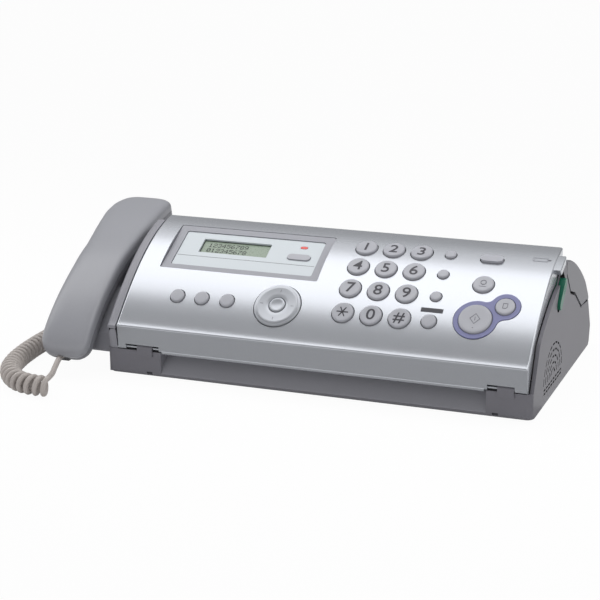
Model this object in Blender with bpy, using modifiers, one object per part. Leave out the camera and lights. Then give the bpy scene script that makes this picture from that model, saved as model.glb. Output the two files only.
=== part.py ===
"""Fax machine with a corded handset, modelled as separate pieces. Metres, +Z up.

Sizes are given in a working frame: x = 0 at the middle of the body, y = 0 at the foot of
its front, z = 0 on the table. Everything hangs on one empty that puts the middle of the
machine over the world's origin.
"""
import math

import bmesh
import bpy
from mathutils import Euler, Matrix, Vector

# ---- Body -------------------------------------------------------------------------
BODY_WIDTH = 0.298
BODY_DEPTH = 0.179
CASE_WALL = 0.0025
FRONT_TOP = 0.0198            # top of the front beam, under the cover's skirt
SEAM = 0.0006                 # seen joint between two covers
FIT = 0.0003                  # between pieces that touch
RUN_FIT = 0.0004              # round a shaft or pin that turns
FOOT_RADIUS = 0.007
FOOT_HEIGHT = 0.0025
FOOT_POCKET = 0.0008
FOOT_INSET_X = 0.026
FOOT_INSET_Y = 0.020
CORNER_RADIUS = 0.0042         # upright front corners of the case and its cheek

# ---- Front cover ------------------------------------------------------------------
COVER_WALL = 0.0024
COVER_LEFT = 0.0082           # width of the fixed cheek at the left of the cover
COVER_RIGHT = 0.003           # how far the cover stays inside the body's right side
COVER_EDGE_RADIUS = 0.0042
LIP_DROP = 0.0014             # how far the skirt hangs lower over the paper outlet
LIP_END = 0.0014              # between the lip and the outlet's side walls
PANEL_FRONT = (-0.0031, 0.0374)
PANEL_FRONT_PULL = (0.0008, 0.0374)
PANEL_REAR_PULL = (0.0361, 0.0854)
PANEL_REAR = (0.0888, 0.0947)
REAR_LIP = 0.0032
FLANGE_KNEE = 0.022           # along the panel, where the side flange begins to follow it
FLANGE_FRONT = 0.0055         # depth of the side flange at the knee
FLANGE_REAR = 0.0149          # and at its rear end
FLANGE_END = 0.086            # along the panel
COVER_HINGE = (0.0007, 0.0220)
HINGE_RADIUS = 0.0018
HINGE_PIN_RADIUS = 0.0008
HINGE_NOTCH_LEFT = (0.0146, 0.0393)       # from the body's left side
HINGE_KNUCKLE_LEFT = (0.0228, 0.0340)
HINGE_NOTCH_RIGHT = (0.0114, 0.0294)      # from the body's right side
HINGE_KNUCKLE_RIGHT = (0.0118, 0.0228)
TAB_WIDTH = 0.0050            # pull tab at the cover's rear right
TAB_START = 0.066
TAB_END = 0.091
TAB_DEPTH = 0.0075

# ---- Paper outlet -----------------------------------------------------------------
OUTLET = (-0.1090, 0.1190)
OUTLET_DEPTH = 0.0130
OUTLET_TOP = 0.0186
OUTLET_FOOT = 0.0048

# ---- Back cover -------------------------------------------------------------------
BACK_TOP = ((0.0912, 0.0852), (0.1060, 0.0822), (0.1217, 0.0765), (0.1340, 0.0704),
            (0.1470, 0.0628), (0.1585, 0.0546), (0.1660, 0.0468))
BACK_SEAM = ((0.0922, 0.0766), (0.1071, 0.0603), (0.1211, 0.0559), (0.1462, 0.0399))
BACK_WALL = 0.0024
BACK_HINGE = (0.1686, 0.0392)
BACK_KNUCKLE = 0.014
BACK_KNUCKLE_INSET = 0.030
CASE_REAR_BULGE = (0.0024, 0.0158)
CASE_REAR_TOP = 0.0373
PAPER_SLOT_WIDTH = 0.216
PAPER_SLOT = (0.1390, 0.1480)
PEAK = ((0.0805, 0.0822), (0.0890, 0.0850))

# ---- Buttons: place across, place along the panel -----------------------------------
KEY_RADIUS = 0.0074
KEY_COLUMNS = 3
KEY_ROWS = 4
KEY_PITCH_X = 0.0195
KEY_PITCH_U = 0.0197
KEY_LEFT = 0.0164
KEY_LOW = 0.0276
BUTTON_TRAVEL = 0.0012
BUTTON_RISE = BUTTON_TRAVEL + 0.0006      # a pressed button still stands over the panel
BUTTON_EDGE = 0.0008
BUTTON_FLANGE = 0.0010
BUTTON_CLEARANCE = 0.0003
CURVE_ROOM = 0.00025          # extra room under the curved panel
MENU_RADIUS = 0.0050
MENU_X = (-0.1030, -0.0849, -0.0664)
MENU_U = 0.0277
SIDE_RADIUS = 0.00375
SIDE_X = 0.0755
SIDE_U = (0.0871, 0.0670, 0.0474)
MONITOR_RADIUS = 0.0050
MONITOR_PLACE = (0.0753, 0.0276)
NAVIGATOR_RADIUS = 0.0162
NAVIGATOR_BORE = 0.0058
NAVIGATOR_PLACE = (-0.0300, 0.0280)
SET_RADIUS = 0.0050
STOP_RADIUS = 0.0070
STOP_PLACE = (0.1042, 0.0612)
START_RADIUS = 0.0110
START_PLACE = (0.1052, 0.0325)
COPY_RADIUS = 0.0065
COPY_PLACE = (0.1226, 0.0443)
PILL_SIZE = (0.0156, 0.0066)
PILL_PLACE = (0.1040, 0.0860)
ACCENT_START_RING = 0.0145
ACCENT_COPY_RING = 0.0100
ACCENT_FILLET = 0.0055
ACCENT_THICKNESS = 0.0012
ACCENT_SINK = 0.0008

# ---- Display ----------------------------------------------------------------------
DISPLAY_SIZE = (0.1164, 0.0456)
DISPLAY_PLACE = (-0.0665, 0.0735)
DISPLAY_SINK = 0.0023         # at the frame's middle; its long edges lie flush with the curved panel
DISPLAY_THICKNESS = 0.0046
DISPLAY_RIM = 0.0015
DISPLAY_CORNER = 0.0015
WINDOW_SIZE = (0.1040, 0.0350)
WINDOW_PLACE = (DISPLAY_PLACE[0], DISPLAY_PLACE[1] - 0.0002)
WINDOW_SINK = 0.0006
WINDOW_THICKNESS = 0.0014
LCD_SIZE = (0.0640, 0.0200, 0.0024)
LCD_PLACE = (WINDOW_PLACE[0] - 0.0114, WINDOW_PLACE[1] + 0.0045)
AUTO_SIZE = (0.0166, 0.0054)
AUTO_PLACE = (WINDOW_PLACE[0] + WINDOW_SIZE[0] / 2 - 0.0146, WINDOW_PLACE[1] + 0.0004)
LAMP_SIZE = (0.0050, 0.0022)
LAMP_PLACE = (AUTO_PLACE[0] + 0.0005, AUTO_PLACE[1] + 0.0104)
BOARD_SIZE = (BODY_WIDTH - 0.0420, 0.0720, 0.0016)
BOARD_DEPTH = 0.0100          # of the board's top under the panel, at its middle
BOARD_U = 0.0600
BOARD_POST = 0.0028
BOARD_MARGIN = 0.0077         # from a post to the board's end
BOARD_ROW = 0.0310            # of the posts, from the board's middle
BOARD_POSTS = ((-1, -1), (0, 1), (1, -1), (1, 1))

# ---- Grille and lever ---------------------------------------------------------------
GRILLE_FOOT = (0.0580, 0.0150)
GRILLE_RINGS = 5
GRILLE_FIRST = 0.0048
GRILLE_PITCH = 0.0043
GRILLE_SLOT = 0.0013
GRILLE_DASH = 0.0052
GRILLE_ROWS = 3
GRILLE_STRETCH = 1.22
SPEAKER_SIZE = (0.0560, 0.0280, 0.0040)
SPEAKER_MAGNET = (0.0130, 0.0090)
LEVER_FOOT = (0.0690, 0.0606)
LEVER_LENGTH = 0.0170
LEVER_ANGLE = math.radians(44)
LEVER_RADIUS = 0.0034
LEVER_THICKNESS = 0.0060
LEVER_SINK = 0.0007
LEVER_TRAVEL = math.radians(8)

# ---- Inside -------------------------------------------------------------------------
FRAME_X = BODY_WIDTH / 2 - 0.0290         # middle of the side frames
FRAME_WALL = 0.0025
FRAME_TOP = ((0.0240, 0.0160), (0.0320, 0.0450), (0.0620, 0.0660), (0.0860, 0.0680),
             (0.1040, 0.0560), (0.1240, 0.0520), (0.1620, 0.0300))
GEAR_MODULE = 0.0010
GEAR_WIDTH = 0.0050
GEAR_RUN = 0.0004             # between the tips of two gears in mesh
PLATEN_PLACE = (0.1120, 0.0430)
PLATEN_RADIUS = 0.0080
PLATEN_TEETH = 22
IDLER_TEETH = 14
TAKEUP_TEETH = 18
MOTOR_TEETH = 10
TRAIN_ANGLE = math.radians(215)
MOTOR_ANGLE = math.radians(-20)
ROLLER_LENGTH = 2 * FRAME_X - 0.0220
SHAFT_RADIUS = 0.0030
FEED_PLACE = (0.0740, 0.0590)
FEED_RADIUS = 0.0075
TAKEUP_RADIUS = 0.0085
SUPPLY_PLACE = (0.1450, 0.0210)
SUPPLY_RADIUS = 0.0135
HEAD_SIZE = (0.0180, 0.0080)
MOTOR_RADIUS = 0.0110
MOTOR_LENGTH = 0.0120
MAIN_BOARD = (0.2000, 0.0360, 0.0016)
MAIN_BOARD_PLACE = (0.0, 0.0480)
STANDOFF = 0.0050
STANDOFF_RADIUS = 0.0030

# ---- Document guides ------------------------------------------------------------------
GUIDE_REST = 0.1085           # inner face of each guide from the middle, at rest
GUIDE_TRAVEL = 0.0400
GUIDE_Y = 0.1100
GUIDE_LENGTH = 0.0200
GUIDE_HEIGHT = 0.0065
GUIDE_THICKNESS = 0.0030
GUIDE_SLOT = 0.0040
RACK_WIDTH = 0.0040
RACK_THICKNESS = 0.0018
RACK_ROOM = 0.0008            # under the back cover's curved top
PINION_TEETH = 12

# ---- Handset and cradle ---------------------------------------------------------------
HANDSET_X = -BODY_WIDTH / 2 - 0.0290
HANDSET_SPINE = ((-0.0105, 0.0176), (-0.0040, 0.0290), (0.0100, 0.0445), (0.0250, 0.0600),
                 (0.0480, 0.0730), (0.0770, 0.0800), (0.1050, 0.0858), (0.1270, 0.0900))
HANDSET_WIDTH = 0.0400
HANDSET_TOP = 0.0100          # from the spine up to the crown
HANDSET_UNDER = 0.0085        # from the spine down to the underside
HANDSET_ROUND = 0.0200        # length over which the ends close
HANDSET_SEAM = 0.0004
HANDSET_STATIONS = 17
SECTION_POINTS = 9
SECTION_POWER = 2.9
CAP_RADIUS = 0.0150
CAP_HEIGHT = 0.0050
CAP_ROOT = 0.0030             # how deep a cap is rooted in the shell
EAR_Y = 0.1040                # of the spine over each cap
MOUTH_Y = 0.0130
HANDSET_TILT = math.radians(28)
CRADLE_WIDTH = 0.0520
CRADLE_BOTTOM = 0.0140
CRADLE_FRONT = 0.0070
CRADLE_REAR = 0.1400
CRADLE_BACK_TOP = 0.0860
CRADLE_ROOM = 0.0008
CRADLE_WELL = ((0.0420, 0.0440), (0.0760, 0.0520))
WELL_ROOM = 0.0012
HOOK_RADIUS = 0.0030
HOOK_REACH = 0.0125
SOCKET = (0.0092, 0.0076)     # width and height of a cord socket
SOCKET_DEPTH = 0.0100
BASE_JACK_Y = 0.0950
BASE_JACK_Z = 0.0084

# ---- Curly cord -------------------------------------------------------------------------
CORD_DIAMETER = 0.0038
CURL_DIAMETER = 0.0146
CURL_COUNT = 31
CURL_POINTS = 8
CORD_LEAD = ((-0.1765, -0.0210, 0.0132), (-0.1725, -0.0330, 0.0122), (-0.1680, -0.0450, 0.0122))
COIL_ROUTE = ((-0.1650, -0.0565), (-0.1760, -0.0570), (-0.1868, -0.0542), (-0.1962, -0.0476),
              (-0.2038, -0.0382), (-0.2095, -0.0265), (-0.2134, -0.0120), (-0.2160, 0.0060),
              (-0.2173, 0.0270), (-0.2172, 0.0490), (-0.2158, 0.0705), (-0.2130, 0.0920))
CORD_TAIL = ((-0.2020, 0.0940, 0.0022), (-0.1910, 0.0950, 0.0036), (-0.1800, 0.0952, 0.0058),
             (-0.1700, 0.0951, 0.0077))

# ---- Rear -------------------------------------------------------------------------------
INLET_SIZE = (0.0200, 0.0110)
INLET_X = BODY_WIDTH / 2 - 0.0340
LINE_JACK_X = (-BODY_WIDTH / 2 + 0.0310, -BODY_WIDTH / 2 + 0.0490)
LINE_JACK = (0.0110, 0.0090)
REAR_SOCKET_DEPTH = 0.0090
REAR_SOCKET_WALL = 0.0015
REAR_SOCKET_Z = 0.0112

# ---- Worked out from the sizes above ------------------------------------------------------
HALF_WIDTH = BODY_WIDTH / 2
CASE_BOTTOM = FOOT_HEIGHT - FOOT_POCKET + FIT
FLOOR = CASE_BOTTOM + CASE_WALL
COVER_X = (-HALF_WIDTH + COVER_LEFT, HALF_WIDTH - COVER_RIGHT)
CURVE_STEPS = 64
SIDEWAYS = (math.pi / 2, 0, math.pi / 2)
HANDSET_END = HANDSET_SPINE[-1][0]


# ---- Small tools ----------------------------------------------------------------------------
def clear_scene():
    for old in list(bpy.data.objects):
        bpy.data.objects.remove(old, do_unlink=True)


def make_collection(name):
    collection = bpy.data.collections.new(name)
    bpy.context.scene.collection.children.link(collection)
    return collection


def make_empty(name, place=(0, 0, 0), parent=None, turn=(0, 0, 0)):
    empty = bpy.data.objects.new(name, None)
    empty.empty_display_size = 0.01
    PARTS.objects.link(empty)
    hang(empty, place, turn, parent)
    return empty


def hang(obj, place, turn, parent):
    """Put an object at a place of the working frame, under an empty that isn't turned."""
    obj.rotation_euler = turn
    obj.location = Vector(place)
    above = parent
    while above is not None and above is not MACHINE:
        obj.location -= above.location
        above = above.parent
    obj.parent = parent


def material(name, colour, roughness, metallic=0.0):
    made = bpy.data.materials.new(name)
    made.use_nodes = True
    shader = made.node_tree.nodes["Principled BSDF"]
    shader.inputs["Base Color"].default_value = (*colour, 1)
    shader.inputs["Roughness"].default_value = roughness
    shader.inputs["Metallic"].default_value = metallic
    made.diffuse_color = (*colour, 1)
    return made


def part(name, mesh, finish, place=(0, 0, 0), turn=(0, 0, 0), parent=None):
    obj = bpy.data.objects.new(name, mesh)
    if not mesh.materials:
        mesh.materials.append(finish)
    PARTS.objects.link(obj)
    hang(obj, place, turn, parent or MACHINE)
    return obj


def cutter(name, mesh, place=(0, 0, 0), turn=(0, 0, 0), parent=None):
    obj = bpy.data.objects.new(name, mesh)
    CUTTERS.objects.link(obj)
    obj.hide_render = True
    obj.display_type = "WIRE"
    hang(obj, place, turn, parent or MACHINE)
    return obj


def boolean(obj, other, operation="DIFFERENCE"):
    step = obj.modifiers.new(other.name, "BOOLEAN")
    step.operation = operation
    step.solver = "EXACT"
    step.object = other


def finish_mesh(name, bm):
    bmesh.ops.recalc_face_normals(bm, faces=bm.faces)
    mesh = bpy.data.meshes.new(name)
    bm.to_mesh(mesh)
    bm.free()
    return mesh


def slab(name, outline, depth, holes=()):
    """A flat outline in X and Y, with its holes, as a closed solid this deep along Z."""
    curve = bpy.data.curves.new(name, "CURVE")
    curve.dimensions = "2D"
    curve.fill_mode = "BOTH"
    curve.extrude = depth / 2
    for loop in (outline, *holes):
        spline = curve.splines.new("POLY")
        spline.points.add(len(loop) - 1)
        for point, (a, b) in zip(spline.points, loop):
            point.co = (a, b, 0, 1)
        spline.use_cyclic_u = True
    holder = bpy.data.objects.new(name, curve)
    SKETCHES.objects.link(holder)
    graph = bpy.context.evaluated_depsgraph_get()
    mesh = bpy.data.meshes.new_from_object(holder.evaluated_get(graph))
    bpy.data.objects.remove(holder)
    bm = bmesh.new()
    bm.from_mesh(mesh)
    bmesh.ops.remove_doubles(bm, verts=bm.verts, dist=1e-6)
    bmesh.ops.dissolve_limit(bm, angle_limit=0.002, verts=bm.verts, edges=bm.edges)
    return finish_mesh(name, bm)


def round_along(mesh, path, ends, radius):
    """Round those edges of a slab that run along a path, at the given ends of the slab."""
    bm = bmesh.new()
    bm.from_mesh(mesh)

    def lies(vert):
        near = min(math.dist(vert.co[:2], point) for point in path)
        return near < 1e-5 and min(abs(vert.co.z - end) for end in ends) < 1e-6

    edges = [e for e in bm.edges if all(lies(v) for v in e.verts) and abs(e.verts[0].co.z - e.verts[1].co.z) < 1e-6]
    bmesh.ops.bevel(bm, geom=edges, offset=radius, segments=3, profile=0.5, affect="EDGES")
    return finish_mesh(mesh.name, bm)


def block(name, size, place=(0, 0, 0)):
    bm = bmesh.new()
    bmesh.ops.create_cube(bm, size=1, matrix=Matrix.Translation(place) @ Matrix.Diagonal((*size, 1)))
    return finish_mesh(name, bm)


def span(name, low, high):
    """A block between two corners."""
    size = [b - a for a, b in zip(low, high)]
    middle = [(a + b) / 2 for a, b in zip(low, high)]
    return block(name, size, middle)


def round_bars(name, bars, sides=20):
    """Cylinders in one mesh: each is a radius, a depth and a matrix."""
    bm = bmesh.new()
    for radius, depth, matrix in bars:
        bmesh.ops.create_cone(
            bm, cap_ends=True, segments=sides, radius1=radius, radius2=radius, depth=depth, matrix=matrix
        )
    return finish_mesh(name, bm)


def bar_x(radius, low, high, place, sides=20, name="bar"):
    """A cylinder along X from low to high, through a place (y, z)."""
    turn = Matrix.Rotation(math.pi / 2, 4, "Y")
    middle = Matrix.Translation(((low + high) / 2, *place))
    return round_bars(name, [(radius, high - low, middle @ turn)], sides)


def turned(obj, steps):
    """Turn an object's profile round its Z axis."""
    screw = obj.modifiers.new("turn", "SCREW")
    screw.axis = "Z"
    screw.steps = steps
    screw.render_steps = steps
    screw.use_merge_vertices = True
    screw.merge_threshold = 0.00001
    screw.use_smooth_shade = True


def profile_mesh(name, points, closed=False):
    """A profile of (radius, height) points, from its top down the outside."""
    bm = bmesh.new()
    row = [bm.verts.new((r, 0, z)) for r, z in points]
    for first, second in zip(row, row[1:] + row[:1] if closed else row[1:]):
        bm.edges.new((first, second))
    mesh = bpy.data.meshes.new(name)
    bm.to_mesh(mesh)
    bm.free()
    return mesh


def rounded_box(width, height, radius, steps=3, centre=(0, 0)):
    """The outline of a rectangle with round corners."""
    points = []
    for corner in range(4):
        side_x = 1 if corner in (0, 3) else -1
        side_y = 1 if corner in (0, 1) else -1
        for step in range(steps + 1):
            angle = math.pi / 2 * (corner + step / steps)
            points.append((
                centre[0] + side_x * (width / 2 - radius) + radius * math.cos(angle),
                centre[1] + side_y * (height / 2 - radius) + radius * math.sin(angle),
            ))
    return points


def circle(radius, centre=(0, 0), steps=20):
    return [
        (centre[0] + radius * math.cos(math.tau * n / steps), centre[1] + radius * math.sin(math.tau * n / steps))
        for n in range(steps)
    ]


# ---- Panel curve ---------------------------------------------------------------------------
def bezier(t):
    ends = (PANEL_FRONT, PANEL_FRONT_PULL, PANEL_REAR_PULL, PANEL_REAR)
    shares = ((1 - t) ** 3, 3 * t * (1 - t) ** 2, 3 * t * t * (1 - t), t ** 3)
    return tuple(sum(share * point[axis] for share, point in zip(shares, ends)) for axis in (0, 1))


def walk_panel():
    """The panel's points from front to rear, each with its distance along the curve."""
    points = [bezier(n / CURVE_STEPS) for n in range(CURVE_STEPS + 1)]
    along = [0.0]
    for first, second in zip(points, points[1:]):
        along.append(along[-1] + math.dist(first, second))
    return points, along


PANEL, PANEL_ALONG = walk_panel()
PANEL_LENGTH = PANEL_ALONG[-1]


def panel_at(along, sink=0.0):
    """Place (y, z) and slope of the panel at a distance along it, sunk under its surface."""
    along = min(max(along, 0.0), PANEL_LENGTH)
    index = next(n for n in range(1, CURVE_STEPS + 1) if PANEL_ALONG[n] >= along - 1e-9)
    before, after = PANEL[index - 1], PANEL[index]
    share = (along - PANEL_ALONG[index - 1]) / (PANEL_ALONG[index] - PANEL_ALONG[index - 1])
    slope = math.atan2(after[1] - before[1], after[0] - before[0])
    y = before[0] + share * (after[0] - before[0]) + sink * math.sin(slope)
    z = before[1] + share * (after[1] - before[1]) - sink * math.cos(slope)
    return y, z, slope


def panel_run(start, end, steps, sink=0.0):
    return [panel_at(start + (end - start) * n / steps, sink)[:2] for n in range(steps + 1)]


def flange_line(room, steps=4):
    """Lower edge of the cover's side flange from the front up to its rear end, lowered by room."""
    points = []
    for n in range(steps + 1):
        along = FLANGE_KNEE + (FLANGE_END - FLANGE_KNEE) * n / steps
        depth = FLANGE_FRONT + (FLANGE_REAR - FLANGE_FRONT) * n / steps
        points.append(panel_at(along, depth + room)[:2])
    return points


# ---- Hinges of the two covers ------------------------------------------------------------------
def from_side(side, insets):
    """Two places across, given as distances from the body's left (-1) or right (1) side."""
    return tuple(sorted(side * (HALF_WIDTH - inset) for inset in insets))


def hinge(cover, case, pivot, notch, knuckle, name, empty):
    """A pin of the cover that runs across a notch, held by a knuckle that stands on the case."""
    y, z = pivot
    reach = HINGE_RADIUS + RUN_FIT
    room = cutter(f"{name}_notch", span("notch", (notch[0], y - 3 * reach, z - 3 * reach),
                                        (notch[1], y + 3 * reach, z + reach)), parent=empty)
    boolean(cover, room)
    pin = cutter(f"{name}_pin", bar_x(HINGE_PIN_RADIUS, notch[0] - HINGE_RADIUS, notch[1] + HINGE_RADIUS,
                                      pivot, 12), parent=empty)
    boolean(cover, pin, "UNION")
    head = [(y + HINGE_RADIUS * math.cos(a), z + HINGE_RADIUS * math.sin(a))
            for a in (math.pi * n / 8 for n in range(9))]
    foot = [(y - HINGE_RADIUS, z - 3 * HINGE_RADIUS), (y + HINGE_RADIUS, z - 3 * HINGE_RADIUS)]
    bore = circle(HINGE_PIN_RADIUS + RUN_FIT, pivot, 12)
    ear = cutter(f"{name}_knuckle", slab("knuckle", head + foot, knuckle[1] - knuckle[0], [bore]),
                 ((knuckle[0] + knuckle[1]) / 2, 0, 0), SIDEWAYS)
    boolean(case, ear, "UNION")


# ---- Base case ---------------------------------------------------------------------------------
def case_outline():
    """Side view of the case: floor, front beam, edge under the cover, peak, back cover's seam."""
    knee = flange_line(SEAM)
    seam = [(y - SEAM / 2, z - SEAM) for y, z in BACK_SEAM]
    rear_top = (BACK_HINGE[0] + HINGE_RADIUS, CASE_REAR_TOP - FIT)
    return [
        (CASE_WALL, CASE_BOTTOM), (0, CASE_BOTTOM + CASE_WALL), (0, FRONT_TOP),
        (COVER_HINGE[0] + HINGE_RADIUS + SEAM, FRONT_TOP), *knee, *PEAK, *seam, rear_top,
        (BODY_DEPTH + CASE_REAR_BULGE[0], CASE_REAR_BULGE[1]), (BODY_DEPTH, CASE_BOTTOM + CASE_WALL),
        (BODY_DEPTH - CASE_WALL, CASE_BOTTOM),
    ]


def case_cavity():
    beam = OUTLET_DEPTH + CASE_WALL
    rear = BODY_DEPTH - CASE_WALL
    top = PANEL_REAR[1] + CASE_WALL
    rear_top = BACK_HINGE[0] - HINGE_RADIUS - FIT
    return [
        (2 * CASE_WALL, FLOOR), (beam, OUTLET_TOP - CASE_WALL), (beam, FRONT_TOP), (-2 * CASE_WALL, FRONT_TOP),
        (-2 * CASE_WALL, top), (rear_top, top), (rear_top, CASE_REAR_TOP), (rear, CASE_REAR_BULGE[1]), (rear, FLOOR),
    ]


def cheek_outline(inset):
    """Side view of the fixed cheek at the left of the cover, drawn in by an inset."""
    rim = panel_run(0.0, PANEL_LENGTH * 0.93, 8, SEAM + inset)
    rear = BACK_TOP[0][0] - SEAM - inset
    foot = FRONT_TOP - SEAM + inset
    return [(SEAM + inset, foot), *rim, (rear, BACK_TOP[0][1]), (rear, BACK_SEAM[1][1]),
            (OUTLET_DEPTH + SEAM + inset, foot)]


def build_case():
    corner = [(CASE_WALL, CASE_BOTTOM), (0, CASE_BOTTOM + CASE_WALL), (0, FRONT_TOP)]
    shell = round_along(slab("base_case", case_outline(), BODY_WIDTH), corner, (-HALF_WIDTH, HALF_WIDTH), CORNER_RADIUS)
    case = part("base_case", shell, DARK_PLASTIC, turn=SIDEWAYS)
    inner = BODY_WIDTH - 2 * CASE_WALL
    boolean(case, cutter("case_cavity", slab("cavity", case_cavity(), inner), turn=SIDEWAYS))
    cheek_middle = -HALF_WIDTH + COVER_LEFT / 2 - SEAM / 2
    width = COVER_LEFT - SEAM
    rim = cheek_outline(0)
    cheek = round_along(slab("cheek", rim, width), rim[:-3], (-width / 2,), CORNER_RADIUS)
    boolean(case, cutter("cheek", cheek, (cheek_middle, 0, 0), SIDEWAYS), "UNION")
    hollow = slab("cheek_hollow", cheek_outline(CASE_WALL), COVER_LEFT)
    boolean(case, cutter("cheek_hollow", hollow, (cheek_middle + CASE_WALL, 0, 0), SIDEWAYS))
    chute = [(-CASE_WALL, OUTLET_FOOT), (0, OUTLET_FOOT), (OUTLET_DEPTH, OUTLET_TOP),
             (OUTLET_DEPTH + 2 * CASE_WALL, OUTLET_TOP), (OUTLET_DEPTH + 2 * CASE_WALL, COVER_HINGE[1]),
             (-CASE_WALL, COVER_HINGE[1])]
    boolean(case, cutter("outlet", slab("outlet", chute, OUTLET[1] - OUTLET[0]),
                         ((OUTLET[0] + OUTLET[1]) / 2, 0, 0), SIDEWAYS))
    build_frames(case)
    build_rear(case)
    build_feet(case)
    return case


def foot_places():
    x = HALF_WIDTH - FOOT_INSET_X
    return [(side * x, y) for side in (-1, 1) for y in (FOOT_INSET_Y, BODY_DEPTH - FOOT_INSET_Y)]


def build_feet(case):
    names = ("foot_front_left", "foot_rear_left", "foot_front_right", "foot_rear_right")
    sole = profile_mesh("foot", [(0, FOOT_HEIGHT), (FOOT_RADIUS, FOOT_HEIGHT), (FOOT_RADIUS, FOOT_POCKET),
                                 (FOOT_RADIUS - FOOT_POCKET, 0), (0, 0)])
    pockets = []
    for name, (x, y) in zip(names, foot_places()):
        turned(part(name, sole, RUBBER, (x, y, 0)), 16)
        pockets.append((FOOT_RADIUS + FIT, 2 * FOOT_POCKET, Matrix.Translation((x, y, CASE_BOTTOM))))
    boolean(case, cutter("foot_pockets", round_bars("pockets", pockets, 16)))


def shaft_places():
    """Where each shaft crosses the side frames."""
    return {"platen": PLATEN_PLACE, "feed": FEED_PLACE, "takeup": takeup_place(), "supply": SUPPLY_PLACE}


def pitch_radius(teeth):
    return teeth * GEAR_MODULE / 2


def step_from(place, distance, angle):
    return place[0] + distance * math.cos(angle), place[1] + distance * math.sin(angle)


def mesh_distance(first, second):
    return pitch_radius(first) + pitch_radius(second)


def idler_place():
    return step_from(PLATEN_PLACE, mesh_distance(PLATEN_TEETH, IDLER_TEETH), TRAIN_ANGLE)


def takeup_place():
    return step_from(idler_place(), mesh_distance(IDLER_TEETH, TAKEUP_TEETH), TRAIN_ANGLE)


def motor_place():
    return step_from(PLATEN_PLACE, mesh_distance(PLATEN_TEETH, MOTOR_TEETH), MOTOR_ANGLE)


def build_frames(case):
    """Two side frames that stand on the floor, with a bearing hole for each shaft."""
    foot = [(FRAME_TOP[-1][0], FLOOR - FIT), (FRAME_TOP[0][0], FLOOR - FIT)]
    bearings = [circle(SHAFT_RADIUS + RUN_FIT, place, 16) for place in shaft_places().values()]
    for side in (-1, 1):
        frame = slab("side_frame", [*FRAME_TOP, *foot], FRAME_WALL, bearings)
        boolean(case, cutter(f"side_frame_{side}", frame, (side * FRAME_X, 0, 0), SIDEWAYS), "UNION")
    stud_low = -FRAME_X - FRAME_WALL / 2 - GEAR_WIDTH - 2 * RUN_FIT
    stud = bar_x(SHAFT_RADIUS, stud_low, -FRAME_X, idler_place(), 12)
    boolean(case, cutter("idler_stud", stud), "UNION")
    posts = []
    for side_x in (-1, 1):
        for side_y in (-1, 1):
            x = MAIN_BOARD_PLACE[0] + side_x * (MAIN_BOARD[0] / 2 - 2 * STANDOFF_RADIUS)
            y = MAIN_BOARD_PLACE[1] + side_y * (MAIN_BOARD[1] / 2 - 2 * STANDOFF_RADIUS)
            posts.append((STANDOFF_RADIUS, STANDOFF + FIT, Matrix.Translation((x, y, FLOOR + STANDOFF / 2 - FIT / 2))))
    boolean(case, cutter("standoffs", round_bars("standoffs", posts, 8)), "UNION")


def build_rear(case):
    """Power inlet and two line jacks as sockets in the rear wall; the cord's jack in the left wall."""
    inside = BODY_DEPTH - CASE_WALL
    depth = REAR_SOCKET_DEPTH + REAR_SOCKET_WALL
    shapes = [(INLET_X, INLET_SIZE)] + [(x, LINE_JACK) for x in LINE_JACK_X]
    for n, (x, (width, height)) in enumerate(shapes):
        outer = (width / 2 + REAR_SOCKET_WALL, height / 2 + REAR_SOCKET_WALL)
        box = span("rear_box", (x - outer[0], inside - depth, REAR_SOCKET_Z - outer[1]),
                   (x + outer[0], inside + CASE_WALL / 2, REAR_SOCKET_Z + outer[1]))
        boolean(case, cutter(f"rear_box_{n}", box), "UNION")
        hole = span("rear_socket", (x - width / 2, inside - REAR_SOCKET_DEPTH, REAR_SOCKET_Z - height / 2),
                    (x + width / 2, BODY_DEPTH + 2 * CASE_WALL, REAR_SOCKET_Z + height / 2))
        boolean(case, cutter(f"rear_socket_{n}", hole))
    jack = block("jack", (3 * CASE_WALL, SOCKET[0], SOCKET[1]))
    boolean(case, cutter("cord_jack", jack, (-HALF_WIDTH, BASE_JACK_Y, BASE_JACK_Z)))


# ---- Front cover -----------------------------------------------------------------------------------
def cover_outline():
    """Side view of the cover: skirt with a round foot on the hinge axis, panel, rear end, flange."""
    y, z = COVER_HINGE
    foot = [(y + HINGE_RADIUS * math.cos(a), z + HINGE_RADIUS * math.sin(a))
            for a in (-math.pi * n / 8 for n in range(9))]
    knee = flange_line(0)
    rear = panel_at(PANEL_LENGTH, REAR_LIP)[:2]
    return [*foot, *panel_run(0, PANEL_LENGTH, 16), rear, (PEAK[1][0] - SEAM, PEAK[1][1] + SEAM),
            (PEAK[0][0] - SEAM, PEAK[0][1] + SEAM), *reversed(knee)]


def cover_hollow():
    skirt = COVER_HINGE[0] + HINGE_RADIUS
    inside = panel_run(0.004, PANEL_LENGTH, 14, COVER_WALL)
    low = COVER_HINGE[1] - 2 * HINGE_RADIUS
    beyond = PANEL_REAR[0] + 4 * COVER_WALL
    rear = panel_at(PANEL_LENGTH, COVER_WALL)[1]
    return [(skirt, low), (skirt, COVER_HINGE[1] + HINGE_RADIUS), *inside[1:], (beyond, rear), (beyond, low)]


def build_lip(cover, empty):
    """Round lip along the skirt's foot, over the paper outlet."""
    y, z = COVER_HINGE
    low = OUTLET[0] + LIP_END
    high = OUTLET[1] - LIP_END
    ring = circle(HINGE_RADIUS, (y, z - LIP_DROP), 16)
    boolean(cover, cutter("skirt_lip", slab("skirt_lip", ring, high - low), ((low + high) / 2, 0, 0), SIDEWAYS, empty),
            "UNION")


def on_panel(x, along, lift=0.0):
    """Place and turn of something that stands on the panel."""
    y, z, slope = panel_at(along, -lift)
    return (x, y, z), (slope, 0, 0)


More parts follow.
